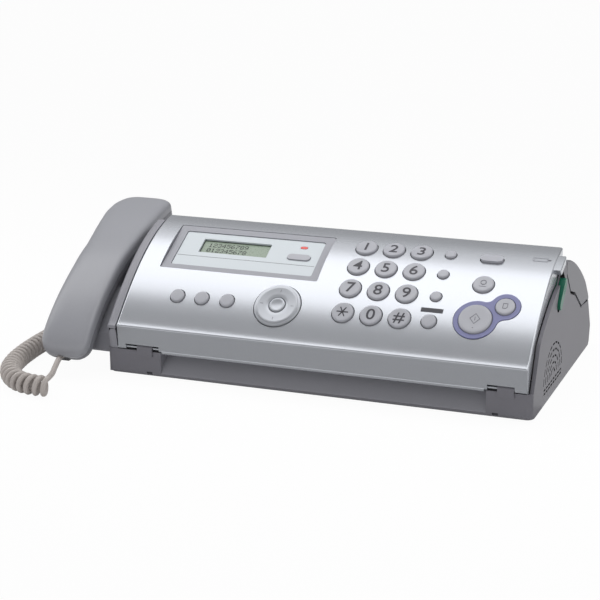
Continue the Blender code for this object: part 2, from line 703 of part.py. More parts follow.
def panel_matrix(x, along, lift=0.0):
    place, turn = on_panel(x, along, lift)
    return Matrix.LocRotScale(Vector(place), Euler(turn), None)


def build_cover(case, empty):
    middle = (COVER_X[0] + COVER_X[1]) / 2
    width = COVER_X[1] - COVER_X[0]
    edge = [*panel_run(0, PANEL_LENGTH, 16), (COVER_HINGE[0] - HINGE_RADIUS, COVER_HINGE[1])]
    shell = round_along(slab("front_cover", cover_outline(), width), edge, (-width / 2, width / 2), COVER_EDGE_RADIUS)
    cover = part("front_cover", shell, SILVER, (middle, 0, 0), SIDEWAYS, empty)
    hollow = slab("cover_hollow", cover_hollow(), COVER_X[1] - COVER_X[0] - 2 * COVER_WALL)
    boolean(cover, cutter("cover_hollow", hollow, (middle, 0, 0), SIDEWAYS))
    build_tab(cover)
    posts = []
    for side, end in BOARD_POSTS:
        x = side * (BOARD_SIZE[0] / 2 - BOARD_MARGIN)
        row = end * BOARD_ROW
        reach = board_room(row) - COVER_WALL / 2
        posts.append((BOARD_POST, reach - FIT, board_matrix(x, row, (reach + FIT) / 2)))
    boolean(cover, cutter("board_posts", round_bars("board_posts", posts, 8), parent=empty), "UNION")
    build_lip(cover, empty)
    hinge(cover, case, COVER_HINGE, from_side(-1, HINGE_NOTCH_LEFT), from_side(-1, HINGE_KNUCKLE_LEFT),
          "cover_hinge_left", empty)
    hinge(cover, case, COVER_HINGE, from_side(1, HINGE_NOTCH_RIGHT), from_side(1, HINGE_KNUCKLE_RIGHT),
          "cover_hinge_right", empty)
    return cover


def build_tab(cover):
    """Pull tab at the right rear, a ledge that stands out over the lever."""
    outline = [*panel_run(TAB_START, TAB_END, 4, SEAM), *reversed(panel_run(TAB_START, TAB_END, 4, TAB_DEPTH))]
    low = COVER_X[1] - COVER_WALL
    high = COVER_X[1] + TAB_WIDTH
    tab = slab("pull_tab", outline, high - low)
    boolean(cover, cutter("pull_tab", tab, ((low + high) / 2, 0, 0), SIDEWAYS), "UNION")


def board_room(row):
    """Height of the panel's surface over the board's top face, at a row of the board."""
    y, z, slope = panel_at(BOARD_U, BOARD_DEPTH)
    near = min(PANEL, key=lambda p: abs((p[0] - y) * math.cos(slope) + (p[1] - z) * math.sin(slope) - row))
    return (near[1] - z) * math.cos(slope) - (near[0] - y) * math.sin(slope)


def board_matrix(x, row, lift):
    """A place on the control board, lifted over its top face."""
    y, z, slope = panel_at(BOARD_U, BOARD_DEPTH)
    middle = Matrix.LocRotScale(Vector(((COVER_X[0] + COVER_X[1]) / 2, y, z)), Euler((slope, 0, 0)), None)
    return middle @ Matrix.Translation((x, row, lift))


def build_board(empty):
    y, z, slope = panel_at(BOARD_U, BOARD_DEPTH + BOARD_SIZE[2] / 2)
    part("control_board", block("control_board", BOARD_SIZE), BOARD_GREEN,
         ((COVER_X[0] + COVER_X[1]) / 2, y, z), (slope, 0, 0), empty)


def pill(size, room=0.0, centre=(0, 0)):
    radius = size[1] / 2 + room
    return rounded_box(size[0] + 2 * room, 2 * radius, radius * 0.999, 3, centre)


def build_display(cover, empty):
    x, along = DISPLAY_PLACE
    width, height = DISPLAY_SIZE
    corner = DISPLAY_CORNER
    opening = slab("display_opening", rounded_box(width, height, corner), 4 * DISPLAY_THICKNESS)
    boolean(cover, cutter("display_opening", opening, *on_panel(x, along)))
    window = (WINDOW_PLACE[0] - x, WINDOW_PLACE[1] - along)
    hole = rounded_box(*WINDOW_SIZE, corner, 3, window)
    plate = slab("display_frame", rounded_box(width - 2 * FIT, height - 2 * FIT, corner), DISPLAY_THICKNESS, [hole])
    middle = -DISPLAY_SINK - DISPLAY_THICKNESS / 2
    frame = part("display_frame", plate, FRAME_GREY, *on_panel(x, along, middle), empty)
    rim = slab("display_rim", rounded_box(width + 2 * DISPLAY_RIM, height + 2 * DISPLAY_RIM, corner),
               DISPLAY_RIM, [hole])
    rim_depth = DISPLAY_SINK + DISPLAY_THICKNESS - DISPLAY_RIM / 2
    boolean(frame, cutter("display_rim", rim, *on_panel(x, along, -rim_depth), empty), "UNION")
    slide = (AUTO_PLACE[0] - WINDOW_PLACE[0], AUTO_PLACE[1] - WINDOW_PLACE[1])
    lamp = (LAMP_PLACE[0] - WINDOW_PLACE[0], LAMP_PLACE[1] - WINDOW_PLACE[1])
    holes = [pill(AUTO_SIZE, BUTTON_CLEARANCE, slide), pill(LAMP_SIZE, FIT, lamp)]
    glass = slab("display_window", rounded_box(WINDOW_SIZE[0] - 2 * FIT, WINDOW_SIZE[1] - 2 * FIT, corner),
                 WINDOW_THICKNESS, holes)
    part("display_window", glass, WINDOW_CLEAR,
         *display_plane(WINDOW_PLACE, DISPLAY_SINK + WINDOW_SINK + WINDOW_THICKNESS / 2), empty)
    lamp_depth = DISPLAY_SINK + WINDOW_SINK + WINDOW_THICKNESS / 2
    part("answer_lamp", slab("answer_lamp", pill(LAMP_SIZE), WINDOW_THICKNESS + FIT), LAMP_RED,
         *display_plane(LAMP_PLACE, lamp_depth), empty)
    top = DISPLAY_SINK + WINDOW_SINK + WINDOW_THICKNESS + FIT
    part("lcd_module", block("lcd_module", LCD_SIZE), LCD_GREY,
         *display_plane(LCD_PLACE, top + LCD_SIZE[2] / 2), empty)


def display_plane(place, depth):
    """Place and turn of something that lies in the display's flat frame, sunk by a depth."""
    y, z, slope = panel_at(DISPLAY_PLACE[1])
    up = place[1] - DISPLAY_PLACE[1]
    y += up * math.cos(slope) + depth * math.sin(slope)
    z += up * math.sin(slope) - depth * math.cos(slope)
    return (place[0], y, z), (slope, 0, 0)


# ---- Buttons ----------------------------------------------------------------------------------------
def round_button_mesh(name, radius, rise=BUTTON_RISE, dish=0.0):
    """A turned key: domed edge, shank through the panel and a flange under it."""
    seat = -COVER_WALL - CURVE_ROOM - FIT
    flange = radius + 0.0012
    return profile_mesh(name, [
        (0, rise - dish), (radius * 0.7, rise - dish * 0.2), (radius - BUTTON_EDGE, rise), (radius, rise - BUTTON_EDGE),
        (radius, seat), (flange, seat), (flange, seat - BUTTON_FLANGE), (0, seat - BUTTON_FLANGE),
    ])


def build_buttons(cover, empty):
    holes = []
    dial = round_button_mesh("dial_key", KEY_RADIUS, dish=0.0003)
    labels = ("star", "0", "hash", "7", "8", "9", "4", "5", "6", "1", "2", "3")
    round_keys = []
    for n, label in enumerate(labels):
        row, column = divmod(n, KEY_COLUMNS)
        place = (KEY_LEFT + column * KEY_PITCH_X, KEY_LOW + row * KEY_PITCH_U)
        round_keys.append((f"key_{label}", dial, KEY_RADIUS, place))
    menu = round_button_mesh("menu_button", MENU_RADIUS)
    for name, x in zip(("menu_button_left", "menu_button_middle", "menu_button_right"), MENU_X):
        round_keys.append((name, menu, MENU_RADIUS, (x, MENU_U)))
    side = round_button_mesh("side_button", SIDE_RADIUS)
    for name, along in zip(("redial_button", "recall_button", "mute_button"), SIDE_U):
        round_keys.append((name, side, SIDE_RADIUS, (SIDE_X, along)))
    round_keys.append(("monitor_button", round_button_mesh("monitor_button", MONITOR_RADIUS), MONITOR_RADIUS,
                       MONITOR_PLACE))
    round_keys.append(("stop_button", round_button_mesh("stop_button", STOP_RADIUS), STOP_RADIUS, STOP_PLACE))
    round_keys.append(("start_button", round_button_mesh("start_button", START_RADIUS, dish=0.0006), START_RADIUS,
                       START_PLACE))
    round_keys.append(("copy_button", round_button_mesh("copy_button", COPY_RADIUS, dish=0.0004), COPY_RADIUS,
                       COPY_PLACE))
    for name, mesh, radius, place in round_keys:
        joint = make_empty(f"{name}_slide", on_panel(*place)[0], empty)
        turned(part(name, mesh, KEY_GREY, *on_panel(*place), joint), 16 if radius > MENU_RADIUS else 12)
        holes.append((radius + BUTTON_CLEARANCE, 6 * COVER_WALL, panel_matrix(*place)))
    build_navigator(empty)
    holes.append((NAVIGATOR_RADIUS + BUTTON_CLEARANCE, 6 * COVER_WALL, panel_matrix(*NAVIGATOR_PLACE)))
    boolean(cover, cutter("button_holes", round_bars("button_holes", holes, 16)))
    build_pills(cover, empty)


def build_navigator(empty):
    """Navigation ring, a turned annulus, and the set button in its bore."""
    seat = -COVER_WALL - 4 * CURVE_ROOM - FIT
    rise = BUTTON_RISE
    ring = profile_mesh("navigator_ring", [
        (NAVIGATOR_BORE, rise - BUTTON_EDGE), (NAVIGATOR_BORE + BUTTON_EDGE, rise),
        (NAVIGATOR_RADIUS - 2 * BUTTON_EDGE, rise), (NAVIGATOR_RADIUS, rise - 1.5 * BUTTON_EDGE),
        (NAVIGATOR_RADIUS, seat), (NAVIGATOR_RADIUS + 0.0012, seat),
        (NAVIGATOR_RADIUS + 0.0012, seat - BUTTON_FLANGE), (NAVIGATOR_BORE, seat - BUTTON_FLANGE),
    ], closed=True)
    place = on_panel(*NAVIGATOR_PLACE)
    joint = make_empty("navigator_ring_slide", place[0], empty)
    turned(part("navigator_ring", ring, SILVER_DARK, *place, joint), 24)
    radius = NAVIGATOR_BORE - BUTTON_CLEARANCE
    knob = profile_mesh("set_button", [
        (0, rise + 0.0002), (radius - BUTTON_EDGE, rise), (radius, rise - BUTTON_EDGE),
        (radius, seat - BUTTON_FLANGE), (0, seat - BUTTON_FLANGE),
    ])
    joint = make_empty("set_button_slide", place[0], empty)
    turned(part("set_button", knob, KEY_GREY, *place, joint), 16)


def build_pills(cover, empty):
    seat = -COVER_WALL - CURVE_ROOM - FIT
    depth = BUTTON_RISE - seat
    place = on_panel(*PILL_PLACE, BUTTON_RISE - depth / 2)
    joint = make_empty("caller_button_slide", place[0], empty)
    button = part("caller_button", slab("caller_button", pill(PILL_SIZE), depth), KEY_GREY, *place, joint)
    flange = slab("caller_flange", pill(PILL_SIZE, 0.0012), BUTTON_FLANGE)
    boolean(button, cutter("caller_flange", flange, *on_panel(*PILL_PLACE, seat - BUTTON_FLANGE / 2 + FIT), joint),
            "UNION")
    hole = slab("caller_hole", pill(PILL_SIZE, BUTTON_CLEARANCE), 6 * COVER_WALL)
    boolean(cover, cutter("caller_hole", hole, *on_panel(*PILL_PLACE)))
    under = DISPLAY_SINK + WINDOW_SINK + WINDOW_THICKNESS
    top = DISPLAY_SINK + WINDOW_SINK - BUTTON_RISE / 2
    spot = display_plane(AUTO_PLACE, (top + under + 2 * FIT) / 2)
    joint = make_empty("auto_answer_slide", spot[0], empty)
    button = part("auto_answer_button", slab("auto_answer_button", pill(AUTO_SIZE), under + 2 * FIT - top),
                  KEY_GREY, *spot, joint)
    flange = slab("auto_flange", pill(AUTO_SIZE, 0.0012), BUTTON_FLANGE)
    boolean(button, cutter("auto_flange", flange, *display_plane(AUTO_PLACE, under + FIT + BUTTON_FLANGE / 2), joint),
            "UNION")


def arc(centre, radius, start, sweep, steps):
    """Points along an arc, without its last one."""
    return [(centre[0] + radius * math.cos(start + sweep * n / steps),
             centre[1] + radius * math.sin(start + sweep * n / steps)) for n in range(steps)]


def accent_outline(room):
    """Two rings joined by a neck with round fillets, centred on the start button."""
    big = ACCENT_START_RING + room
    small = ACCENT_COPY_RING + room
    fillet = ACCENT_FILLET - room
    across = (COPY_PLACE[0] - START_PLACE[0], COPY_PLACE[1] - START_PLACE[1])
    between = math.hypot(*across)
    heading = math.atan2(across[1], across[0])
    far_big = big + fillet
    far_small = small + fillet
    at_big = math.acos((between ** 2 + far_big ** 2 - far_small ** 2) / (2 * between * far_big))
    at_small = math.acos((between ** 2 + far_small ** 2 - far_big ** 2) / (2 * between * far_small))
    bend = at_big + at_small - math.pi
    upper = step_from((0, 0), far_big, heading + at_big)
    lower = step_from((0, 0), far_big, heading - at_big)
    points = arc((0, 0), big, heading + at_big, math.tau - 2 * at_big, 22)
    points += arc(lower, fillet, heading + math.pi - at_big, bend, 4)
    points += arc(across, small, heading + math.pi + at_small, math.tau - 2 * at_small, 14)
    points += arc(upper, fillet, heading - at_small, bend, 4)
    return points, across


def build_accent(cover, empty):
    outline, across = accent_outline(0)
    wide, _ = accent_outline(FIT)
    sink = ACCENT_THICKNESS - ACCENT_SINK
    lift = sink - ACCENT_THICKNESS / 2
    recess = slab("accent_recess", wide, 4 * ACCENT_THICKNESS)
    spot = on_panel(START_PLACE[0], START_PLACE[1], sink - ACCENT_THICKNESS - FIT + 2 * ACCENT_THICKNESS)
    boolean(cover, cutter("accent_recess", recess, *spot))
    holes = [circle(START_RADIUS + BUTTON_CLEARANCE, (0, 0), 24), circle(COPY_RADIUS + BUTTON_CLEARANCE, across, 20)]
    part("accent_plate", slab("accent_plate", outline, ACCENT_THICKNESS, holes), ACCENT,
         *on_panel(START_PLACE[0], START_PLACE[1], lift), empty)


# ---- Back cover ---------------------------------------------------------------------------------------
def back_outline():
    y, z = BACK_HINGE
    foot = [(y + HINGE_RADIUS * math.cos(a), z + HINGE_RADIUS * math.sin(a))
            for a in (math.pi / 4 - 1.25 * math.pi * n / 8 for n in range(9))]
    return [*reversed(BACK_SEAM), *BACK_TOP, *foot]


def back_hollow():
    inside = []
    for n, (y, z) in enumerate(BACK_TOP):
        ahead = BACK_TOP[min(n + 1, len(BACK_TOP) - 1)]
        behind = BACK_TOP[max(n - 1, 0)]
        slope = math.atan2(ahead[1] - behind[1], ahead[0] - behind[0])
        inside.append((y + BACK_WALL * math.sin(slope), z - BACK_WALL * math.cos(slope)))
    inside[0] = (BACK_TOP[0][0] + BACK_WALL, inside[0][1])
    low = BACK_HINGE[1] - 3 * HINGE_RADIUS
    end = BACK_HINGE[0] - HINGE_RADIUS
    return [(inside[0][0], low), *inside, (end, BACK_HINGE[1] + HINGE_RADIUS), (end, low)]


def build_back(case, empty):
    cover = part("back_cover", slab("back_cover", back_outline(), BODY_WIDTH), HUMP_GREY, turn=SIDEWAYS, parent=empty)
    boolean(cover, cutter("back_hollow", slab("back_hollow", back_hollow(), BODY_WIDTH - 2 * BACK_WALL),
                          turn=SIDEWAYS))
    slot = span("paper_slot", (-PAPER_SLOT_WIDTH / 2, PAPER_SLOT[0], BACK_SEAM[-1][1]),
                (PAPER_SLOT_WIDTH / 2, PAPER_SLOT[1], PANEL_REAR[1]))
    boolean(cover, cutter("paper_slot", slot))
    for side, name in ((-1, "back_hinge_left"), (1, "back_hinge_right")):
        knuckle = from_side(side, (BACK_KNUCKLE_INSET, BACK_KNUCKLE_INSET + BACK_KNUCKLE))
        notch = (knuckle[0] - RUN_FIT, knuckle[1] + RUN_FIT)
        hinge(cover, case, BACK_HINGE, notch, knuckle, name, empty)
    build_guides(cover, empty)
    return cover


def back_surface(y):
    """Height and slope of the back cover's top at a depth y."""
    for (y0, z0), (y1, z1) in zip(BACK_TOP, BACK_TOP[1:]):
        if y0 <= y <= y1:
            return z0 + (z1 - z0) * (y - y0) / (y1 - y0), math.atan2(z1 - z0, y1 - y0)
    return BACK_TOP[-1][1], 0.0


# ---- Document guides and their racks --------------------------------------------------------------------
def gear_outline(teeth, module):
    """A spur gear's outline, its tips short of the pitch circle by half the running gap."""
    tip = teeth * module / 2 - GEAR_RUN / 2
    root = tip - 1.6 * module
    points = []
    for tooth in range(teeth):
        for share, radius in ((0.06, tip), (0.40, tip), (0.58, root), (0.88, root)):
            angle = math.tau * (tooth + share) / teeth
            points.append((radius * math.cos(angle), radius * math.sin(angle)))
    return points


def rack_outline(length, width, module, toothed):
    """A bar from x = 0 to its length, with teeth along the last stretch of its upper side."""
    pitch = math.pi * module
    count = int(toothed / pitch)
    points = [(0, 0), (length, 0), (length, width - module)]
    for n in range(count):
        for share, height in ((0.15, -module), (0.35, 0), (0.65, 0), (0.85, -module)):
            points.append((length - (n + share) * pitch, width + height))
    points.append((0, width - module))
    return points


def build_guides(cover, empty):
    z, slope = back_surface(GUIDE_Y)
    turn = Euler((slope, 0, 0))
    frame = Matrix.LocRotScale(Vector((0, GUIDE_Y, z)), turn, None)
    under = -BACK_WALL - RACK_ROOM - RACK_THICKNESS / 2
    reach = pitch_radius(PINION_TEETH) + GEAR_RUN / 2
    rack_length = GUIDE_REST + 0.8 * reach
    stem = GUIDE_THICKNESS
    for side, name in ((-1, "document_guide_left"), (1, "document_guide_right")):
        plate = span("guide", (0, -GUIDE_LENGTH / 2, FIT), (side * GUIDE_THICKNESS, GUIDE_LENGTH / 2, GUIDE_HEIGHT))
        spot = frame @ Vector((side * GUIDE_REST, 0, 0))
        joint = make_empty(f"{name}_slide", spot, empty)
        guide = part(name, plate, HUMP_GREY, spot, turn, joint)
        row = side * (reach + RACK_WIDTH / 2)
        leg = span("leg", (0, row - stem / 2, under - RACK_THICKNESS / 2), (side * stem, row + stem / 2, 2 * FIT))
        boolean(guide, cutter(f"{name}_leg", leg, spot, turn, joint), "UNION")
        rack = slab("rack", rack_outline(rack_length, RACK_WIDTH, GEAR_MODULE, GUIDE_TRAVEL + reach), RACK_THICKNESS)
        flip = 0 if side < 0 else math.pi
        place = frame @ Vector((side * (GUIDE_REST + stem * 0.9), side * (reach + RACK_WIDTH), under))
        rack_turn = (frame.to_3x3() @ Matrix.Rotation(flip, 3, "Z")).to_euler()
        boolean(guide, cutter(f"{name}_rack", rack, place, rack_turn, joint), "UNION")
        outer = side * (GUIDE_REST + stem + RUN_FIT)
        inner = side * (GUIDE_REST - GUIDE_TRAVEL - RUN_FIT)
        slot = span("guide_slot", (inner, row - GUIDE_SLOT / 2, -2 * BACK_WALL), (outer, row + GUIDE_SLOT / 2, BACK_WALL))
        boolean(cover, cutter(f"{name}_slot", slot, (0, GUIDE_Y, z), turn))
    build_pinion(cover, empty, frame, turn, under)


def build_pinion(cover, empty, frame, turn, under):
    spot = frame @ Vector((0, 0, under))
    joint = make_empty("guide_pinion_turn", spot, empty)
    bore = circle(SHAFT_RADIUS / 2 + RUN_FIT, steps=12)
    part("guide_pinion", slab("guide_pinion", gear_outline(PINION_TEETH, GEAR_MODULE), RACK_THICKNESS, [bore]),
         IVORY, spot, turn, joint)
    stud = round_bars("pinion_stud", [(SHAFT_RADIUS / 2, 2 * RACK_THICKNESS + BACK_WALL / 2, Matrix())], 10)
    place = frame @ Vector((0, 0, -BACK_WALL / 2 - RACK_THICKNESS))
    boolean(cover, cutter("pinion_stud", stud, place, turn), "UNION")


# ---- Rollers, gears, thermal head, boards ------------------------------------------------------------------
def roller(name, place, radius, finish, teeth=0, core=None):
    """A roller on its shaft between the side frames, with its gear outside the left one."""
    length = ROLLER_LENGTH / 2
    end = FRAME_X + FRAME_WALL / 2 + RUN_FIT
    shaft = core or SHAFT_RADIUS
    joint = make_empty(f"{name}_turn", (0, *place), MACHINE)
    body = profile_mesh(name, [
        (0, end), (shaft, end), (shaft, length + 0.001), (radius, length), (radius, -length),
        (shaft, -length - 0.001), (shaft, -end - GEAR_WIDTH * (teeth > 0)), (0, -end - GEAR_WIDTH * (teeth > 0)),
    ])
    obj = part(name, body, finish, (0, *place), (0, math.pi / 2, 0), joint)
    turned(obj, 16)
    if teeth:
        gear = slab(f"{name}_gear", gear_outline(teeth, GEAR_MODULE), GEAR_WIDTH)
        middle = (-end - GEAR_WIDTH / 2, *place)
        boolean(obj, cutter(f"{name}_gear", gear, middle, SIDEWAYS, joint), "UNION")
    return obj


def build_inside():
    roller("platen_roller", PLATEN_PLACE, PLATEN_RADIUS, RUBBER, PLATEN_TEETH)
    roller("feed_roller", FEED_PLACE, FEED_RADIUS, RUBBER)
    roller("film_takeup_roll", takeup_place(), TAKEUP_RADIUS, FILM_BLUE, TAKEUP_TEETH)
    roller("film_supply_roll", SUPPLY_PLACE, SUPPLY_RADIUS, FILM_BLACK)
    gear_x = -FRAME_X - FRAME_WALL / 2 - RUN_FIT - GEAR_WIDTH / 2
    joint = make_empty("drive_gear_turn", (gear_x, *idler_place()), MACHINE)
    gear = slab("drive_gear", gear_outline(IDLER_TEETH, GEAR_MODULE), GEAR_WIDTH,
                [circle(SHAFT_RADIUS + RUN_FIT, steps=16)])
    part("drive_gear", gear, IVORY, (gear_x, *idler_place()), SIDEWAYS, joint)
    head_y, head_z = PLATEN_PLACE
    top = head_z - PLATEN_RADIUS - FIT
    half = FRAME_X - FRAME_WALL / 2 - FIT
    part("thermal_head", span("thermal_head", (-half, -HEAD_SIZE[0] / 2, -HEAD_SIZE[1]), (half, HEAD_SIZE[0] / 2, 0)),
         STEEL, (0, head_y, top))
    y, z = motor_place()
    outer = -HALF_WIDTH + CASE_WALL + FIT
    inner = -FRAME_X - FRAME_WALL / 2 - FIT
    motor = part("drive_motor", profile_mesh("drive_motor", [
        (0, inner), (pitch_radius(MOTOR_TEETH) - GEAR_RUN / 2, inner),
        (pitch_radius(MOTOR_TEETH) - GEAR_RUN / 2, inner - GEAR_WIDTH - 2 * RUN_FIT),
        (MOTOR_RADIUS, inner - GEAR_WIDTH - 2 * RUN_FIT), (MOTOR_RADIUS, outer), (0, outer),
    ]), STEEL, (0, y, z), (0, math.pi / 2, 0))
    turned(motor, 20)
    board_z = FLOOR + STANDOFF + FIT + MAIN_BOARD[2] / 2
    part("main_board", block("main_board", MAIN_BOARD), BOARD_GREEN, (*MAIN_BOARD_PLACE, board_z))


# ---- Grille, speaker and lever ------------------------------------------------------------------------------
def dash_mesh(name, dashes, depth):
    """Slots of one length each: a middle (y, z), an angle and a length."""
    bm = bmesh.new()
    for y, z, angle, length in dashes:
        place = Matrix.Translation((0, y, z)) @ Matrix.Rotation(angle, 4, "X")
        bmesh.ops.create_cube(bm, size=1, matrix=place @ Matrix.Diagonal((depth, length, GRILLE_SLOT, 1)))
    return finish_mesh(name, bm)


def grille_dashes():
    """Nested arches of short slots over straight rows."""
    dashes = []
    cy, cz = GRILLE_FOOT
    for ring in range(GRILLE_RINGS):
        radius = GRILLE_FIRST + ring * GRILLE_PITCH
        sweep = math.pi * radius
        count = max(2, round(sweep / (GRILLE_DASH + GRILLE_SLOT)))
        for n in range(count):
            angle = math.pi * (n + 0.5) / count
            tilt = math.atan2(math.cos(angle), -GRILLE_STRETCH * math.sin(angle))
            dashes.append((cy + GRILLE_STRETCH * radius * math.cos(angle), cz + radius * math.sin(angle),
                           tilt, sweep / count - GRILLE_SLOT))
    width = GRILLE_STRETCH * (GRILLE_FIRST + (GRILLE_RINGS - 1) * GRILLE_PITCH)
    for row in range(1, GRILLE_ROWS):
        half = width + GRILLE_SLOT
        dashes.append((cy, cz - row * GRILLE_PITCH * 0.62, 0.0, 2 * half))
    return dashes


def build_grille(case):
    slots = dash_mesh("grille", grille_dashes(), 4 * CASE_WALL)
    boolean(case, cutter("grille", slots, (HALF_WIDTH, 0, 0)))
    width, height, depth = SPEAKER_SIZE
    low = HALF_WIDTH - CASE_WALL - FIT - depth
    cy, cz = GRILLE_FOOT
    lift = cz + height / 2 - 2 * GRILLE_PITCH * 0.62
    frame = part("speaker", slab("speaker", rounded_box(width, height, height / 3), depth), STEEL,
                 (low + depth / 2, cy, lift), SIDEWAYS)
    magnet = bar_x(SPEAKER_MAGNET[0], low - SPEAKER_MAGNET[1], low + depth / 2, (cy, lift), 16)
    boolean(frame, cutter("speaker_magnet", magnet), "UNION")


def lever_outline(room, spread=0.0):
    """A bar with round ends that stands on its lower end; spread opens its upper end."""
    radius = LEVER_RADIUS + room
    top = [(LEVER_LENGTH + radius * math.cos(a), (spread / 2 if math.sin(a) > 0 else -spread / 2) + radius * math.sin(a))
           for a in (-math.pi / 2 + math.pi * n / 8 for n in range(9))]
    foot = [(radius * math.cos(a), radius * math.sin(a)) for a in (math.pi / 2 + math.pi * n / 8 for n in range(9))]
    return top + foot


def build_lever(case):
    spread = 2 * LEVER_LENGTH * math.sin(LEVER_TRAVEL)
    turn = Euler(SIDEWAYS).to_matrix() @ Matrix.Rotation(LEVER_ANGLE, 3, "Z")
    hole = slab("lever_hole", lever_outline(RUN_FIT, spread), 6 * CASE_WALL)
    boolean(case, cutter("lever_hole", hole, (HALF_WIDTH, *LEVER_FOOT), turn.to_euler()))
    middle = HALF_WIDTH - LEVER_SINK - LEVER_THICKNESS / 2
    joint = make_empty("release_lever_turn", (middle, *LEVER_FOOT), MACHINE)
    part("release_lever", slab("release_lever", lever_outline(0), LEVER_THICKNESS), LEVER_GREEN,
         (middle, *LEVER_FOOT), turn.to_euler(), joint)


# ---- Handset ----------------------------------------------------------------------------------------------------
def smooth_through(points, count):
    """Points at an even pace along a smooth curve through the given ones."""
    fine = []
    size = len(points[0])
    last = len(points) - 1
    for n in range(last):
        p0, p1, p2, p3 = (points[max(0, min(last, n + k))] for k in (-1, 0, 1, 2))
        for step in range(12):
            t = step / 12
            fine.append(tuple(
                0.5 * (2 * p1[a] + (p2[a] - p0[a]) * t + (2 * p0[a] - 5 * p1[a] + 4 * p2[a] - p3[a]) * t * t
                       + (3 * p1[a] - p0[a] - 3 * p2[a] + p3[a]) * t ** 3) for a in range(size)))
    fine.append(tuple(points[last]))
    along = [0.0]
    for first, second in zip(fine, fine[1:]):
        along.append(along[-1] + math.dist(first, second))
    result = []
    index = 1
    for n in range(count):
        target = along[-1] * n / (count - 1)
        while index < len(along) - 1 and along[index] < target:
            index += 1
        share = (target - along[index - 1]) / (along[index] - along[index - 1])
        before, after = fine[index - 1], fine[index]
        result.append(tuple(before[a] + share * (after[a] - before[a]) for a in range(size)))
    return result, along[-1]


def spine_stations(count=HANDSET_STATIONS):
    """Places along the handset, closer together at its ends, with slope and how full they are."""
    fine, length = smooth_through(HANDSET_SPINE, 400)
    stations = []
    for n in range(count):
        share = 0.5 - 0.5 * math.cos(math.pi * (n + 0.35) / (count - 0.3))
        index = min(398, max(1, round(share * 399)))
        before, after = fine[index - 1], fine[index + 1]
        slope = math.atan2(after[1] - before[1], after[0] - before[0])
        near = min(share, 1 - share) * length
        closing = min(1.0, near / HANDSET_ROUND)
        stations.append((fine[index], slope, math.sqrt(1 - (1 - closing) ** 2)))
    return stations


def handset_front():
    """How far forward the crown of the upper shell reaches."""
    return min(y - (HANDSET_TOP * full ** 0.6 + HANDSET_SEAM / 2) * math.sin(slope)
               for (y, _), slope, full in spine_stations())


def handset_shell(name, side):
    """Upper (side 1) or lower (side -1) half of the handset, lofted along its spine."""
    reach = HANDSET_TOP if side > 0 else HANDSET_UNDER
    bm = bmesh.new()
    rings = []
    for (y, z), slope, full in spine_stations():
        ring = []
        for n in range(SECTION_POINTS):
            angle = math.pi * n / (SECTION_POINTS - 1)
            across = abs(math.cos(angle)) ** (2 / SECTION_POWER) * math.copysign(1, math.cos(angle))
            lift = math.sin(angle) ** (2 / SECTION_POWER) if 0 < n < SECTION_POINTS - 1 else 0.0
            out = side * (lift * reach * full ** 0.6 + HANDSET_SEAM / 2)
            ring.append(bm.verts.new((
                HANDSET_X + across * HANDSET_WIDTH / 2 * full, y - out * math.sin(slope), z + out * math.cos(slope))))
        rings.append(ring)
    for first, second in zip(rings, rings[1:]):
        for n in range(SECTION_POINTS):
            after = (n + 1) % SECTION_POINTS
            bm.faces.new((first[n], first[after], second[after], second[n]))
    bm.faces.new(rings[0])
    bm.faces.new(rings[-1])
    return finish_mesh(name, bm)


def cap_matrix(spine_y, sink):
    """A place on the underside of the handset, facing the cradle."""
    (y, z), slope, _ = min(spine_stations(40), key=lambda station: abs(station[0][0] - spine_y))
    out = HANDSET_UNDER + HANDSET_SEAM / 2
    place = Vector((HANDSET_X, y + out * math.sin(slope), z - out * math.cos(slope)))
    turn = Matrix.Rotation((slope + HANDSET_TILT) / 2, 4, "X")
    return Matrix.Translation(place) @ turn @ Matrix.Translation((0, 0, -sink))


def build_handset():
    joint = make_empty("handset_lift", cap_matrix(MOUTH_Y, 0).translation, MACHINE)
    part("handset_shell_upper", handset_shell("handset_shell_upper", 1), HANDSET_GREY, parent=joint,
         place=(0, 0, 0))
    lower = part("handset_shell_lower", handset_shell("handset_shell_lower", -1), HANDSET_DARK, parent=joint,
                 place=(0, 0, 0))
    caps = [(CAP_RADIUS, CAP_HEIGHT + CAP_ROOT, cap_matrix(y, (CAP_HEIGHT - CAP_ROOT) / 2)) for y in (EAR_Y, MOUTH_Y)]
    boolean(lower, cutter("handset_caps", round_bars("handset_caps", caps, 24), parent=joint), "UNION")
    y, z = HANDSET_SPINE[0]
    pocket = block("handset_socket", (SOCKET[0], 2 * SOCKET_DEPTH, SOCKET[1]))
    boolean(lower, cutter("handset_socket", pocket, (HANDSET_X, y, z - SOCKET[1] / 2), parent=joint))
    plug = block("handset_plug", (SOCKET[0] - 2 * FIT, SOCKET_DEPTH, SOCKET[1] - 2 * FIT))
    part("handset_plug", plug, PLUG_CLEAR, (HANDSET_X, y + SOCKET_DEPTH / 2 - FIT, z - SOCKET[1] / 2), parent=joint)
    return lower


# ---- Cradle -----------------------------------------------------------------------------------------------------------
def underside_line():
    """The line that the handset's underside follows, from front to rear, with room under it."""
    line = []
    for (y, z), slope, _ in spine_stations():
        out = HANDSET_UNDER + HANDSET_SEAM / 2 + CRADLE_ROOM
        line.append((y + out * math.sin(slope), z - out * math.cos(slope)))
    return line


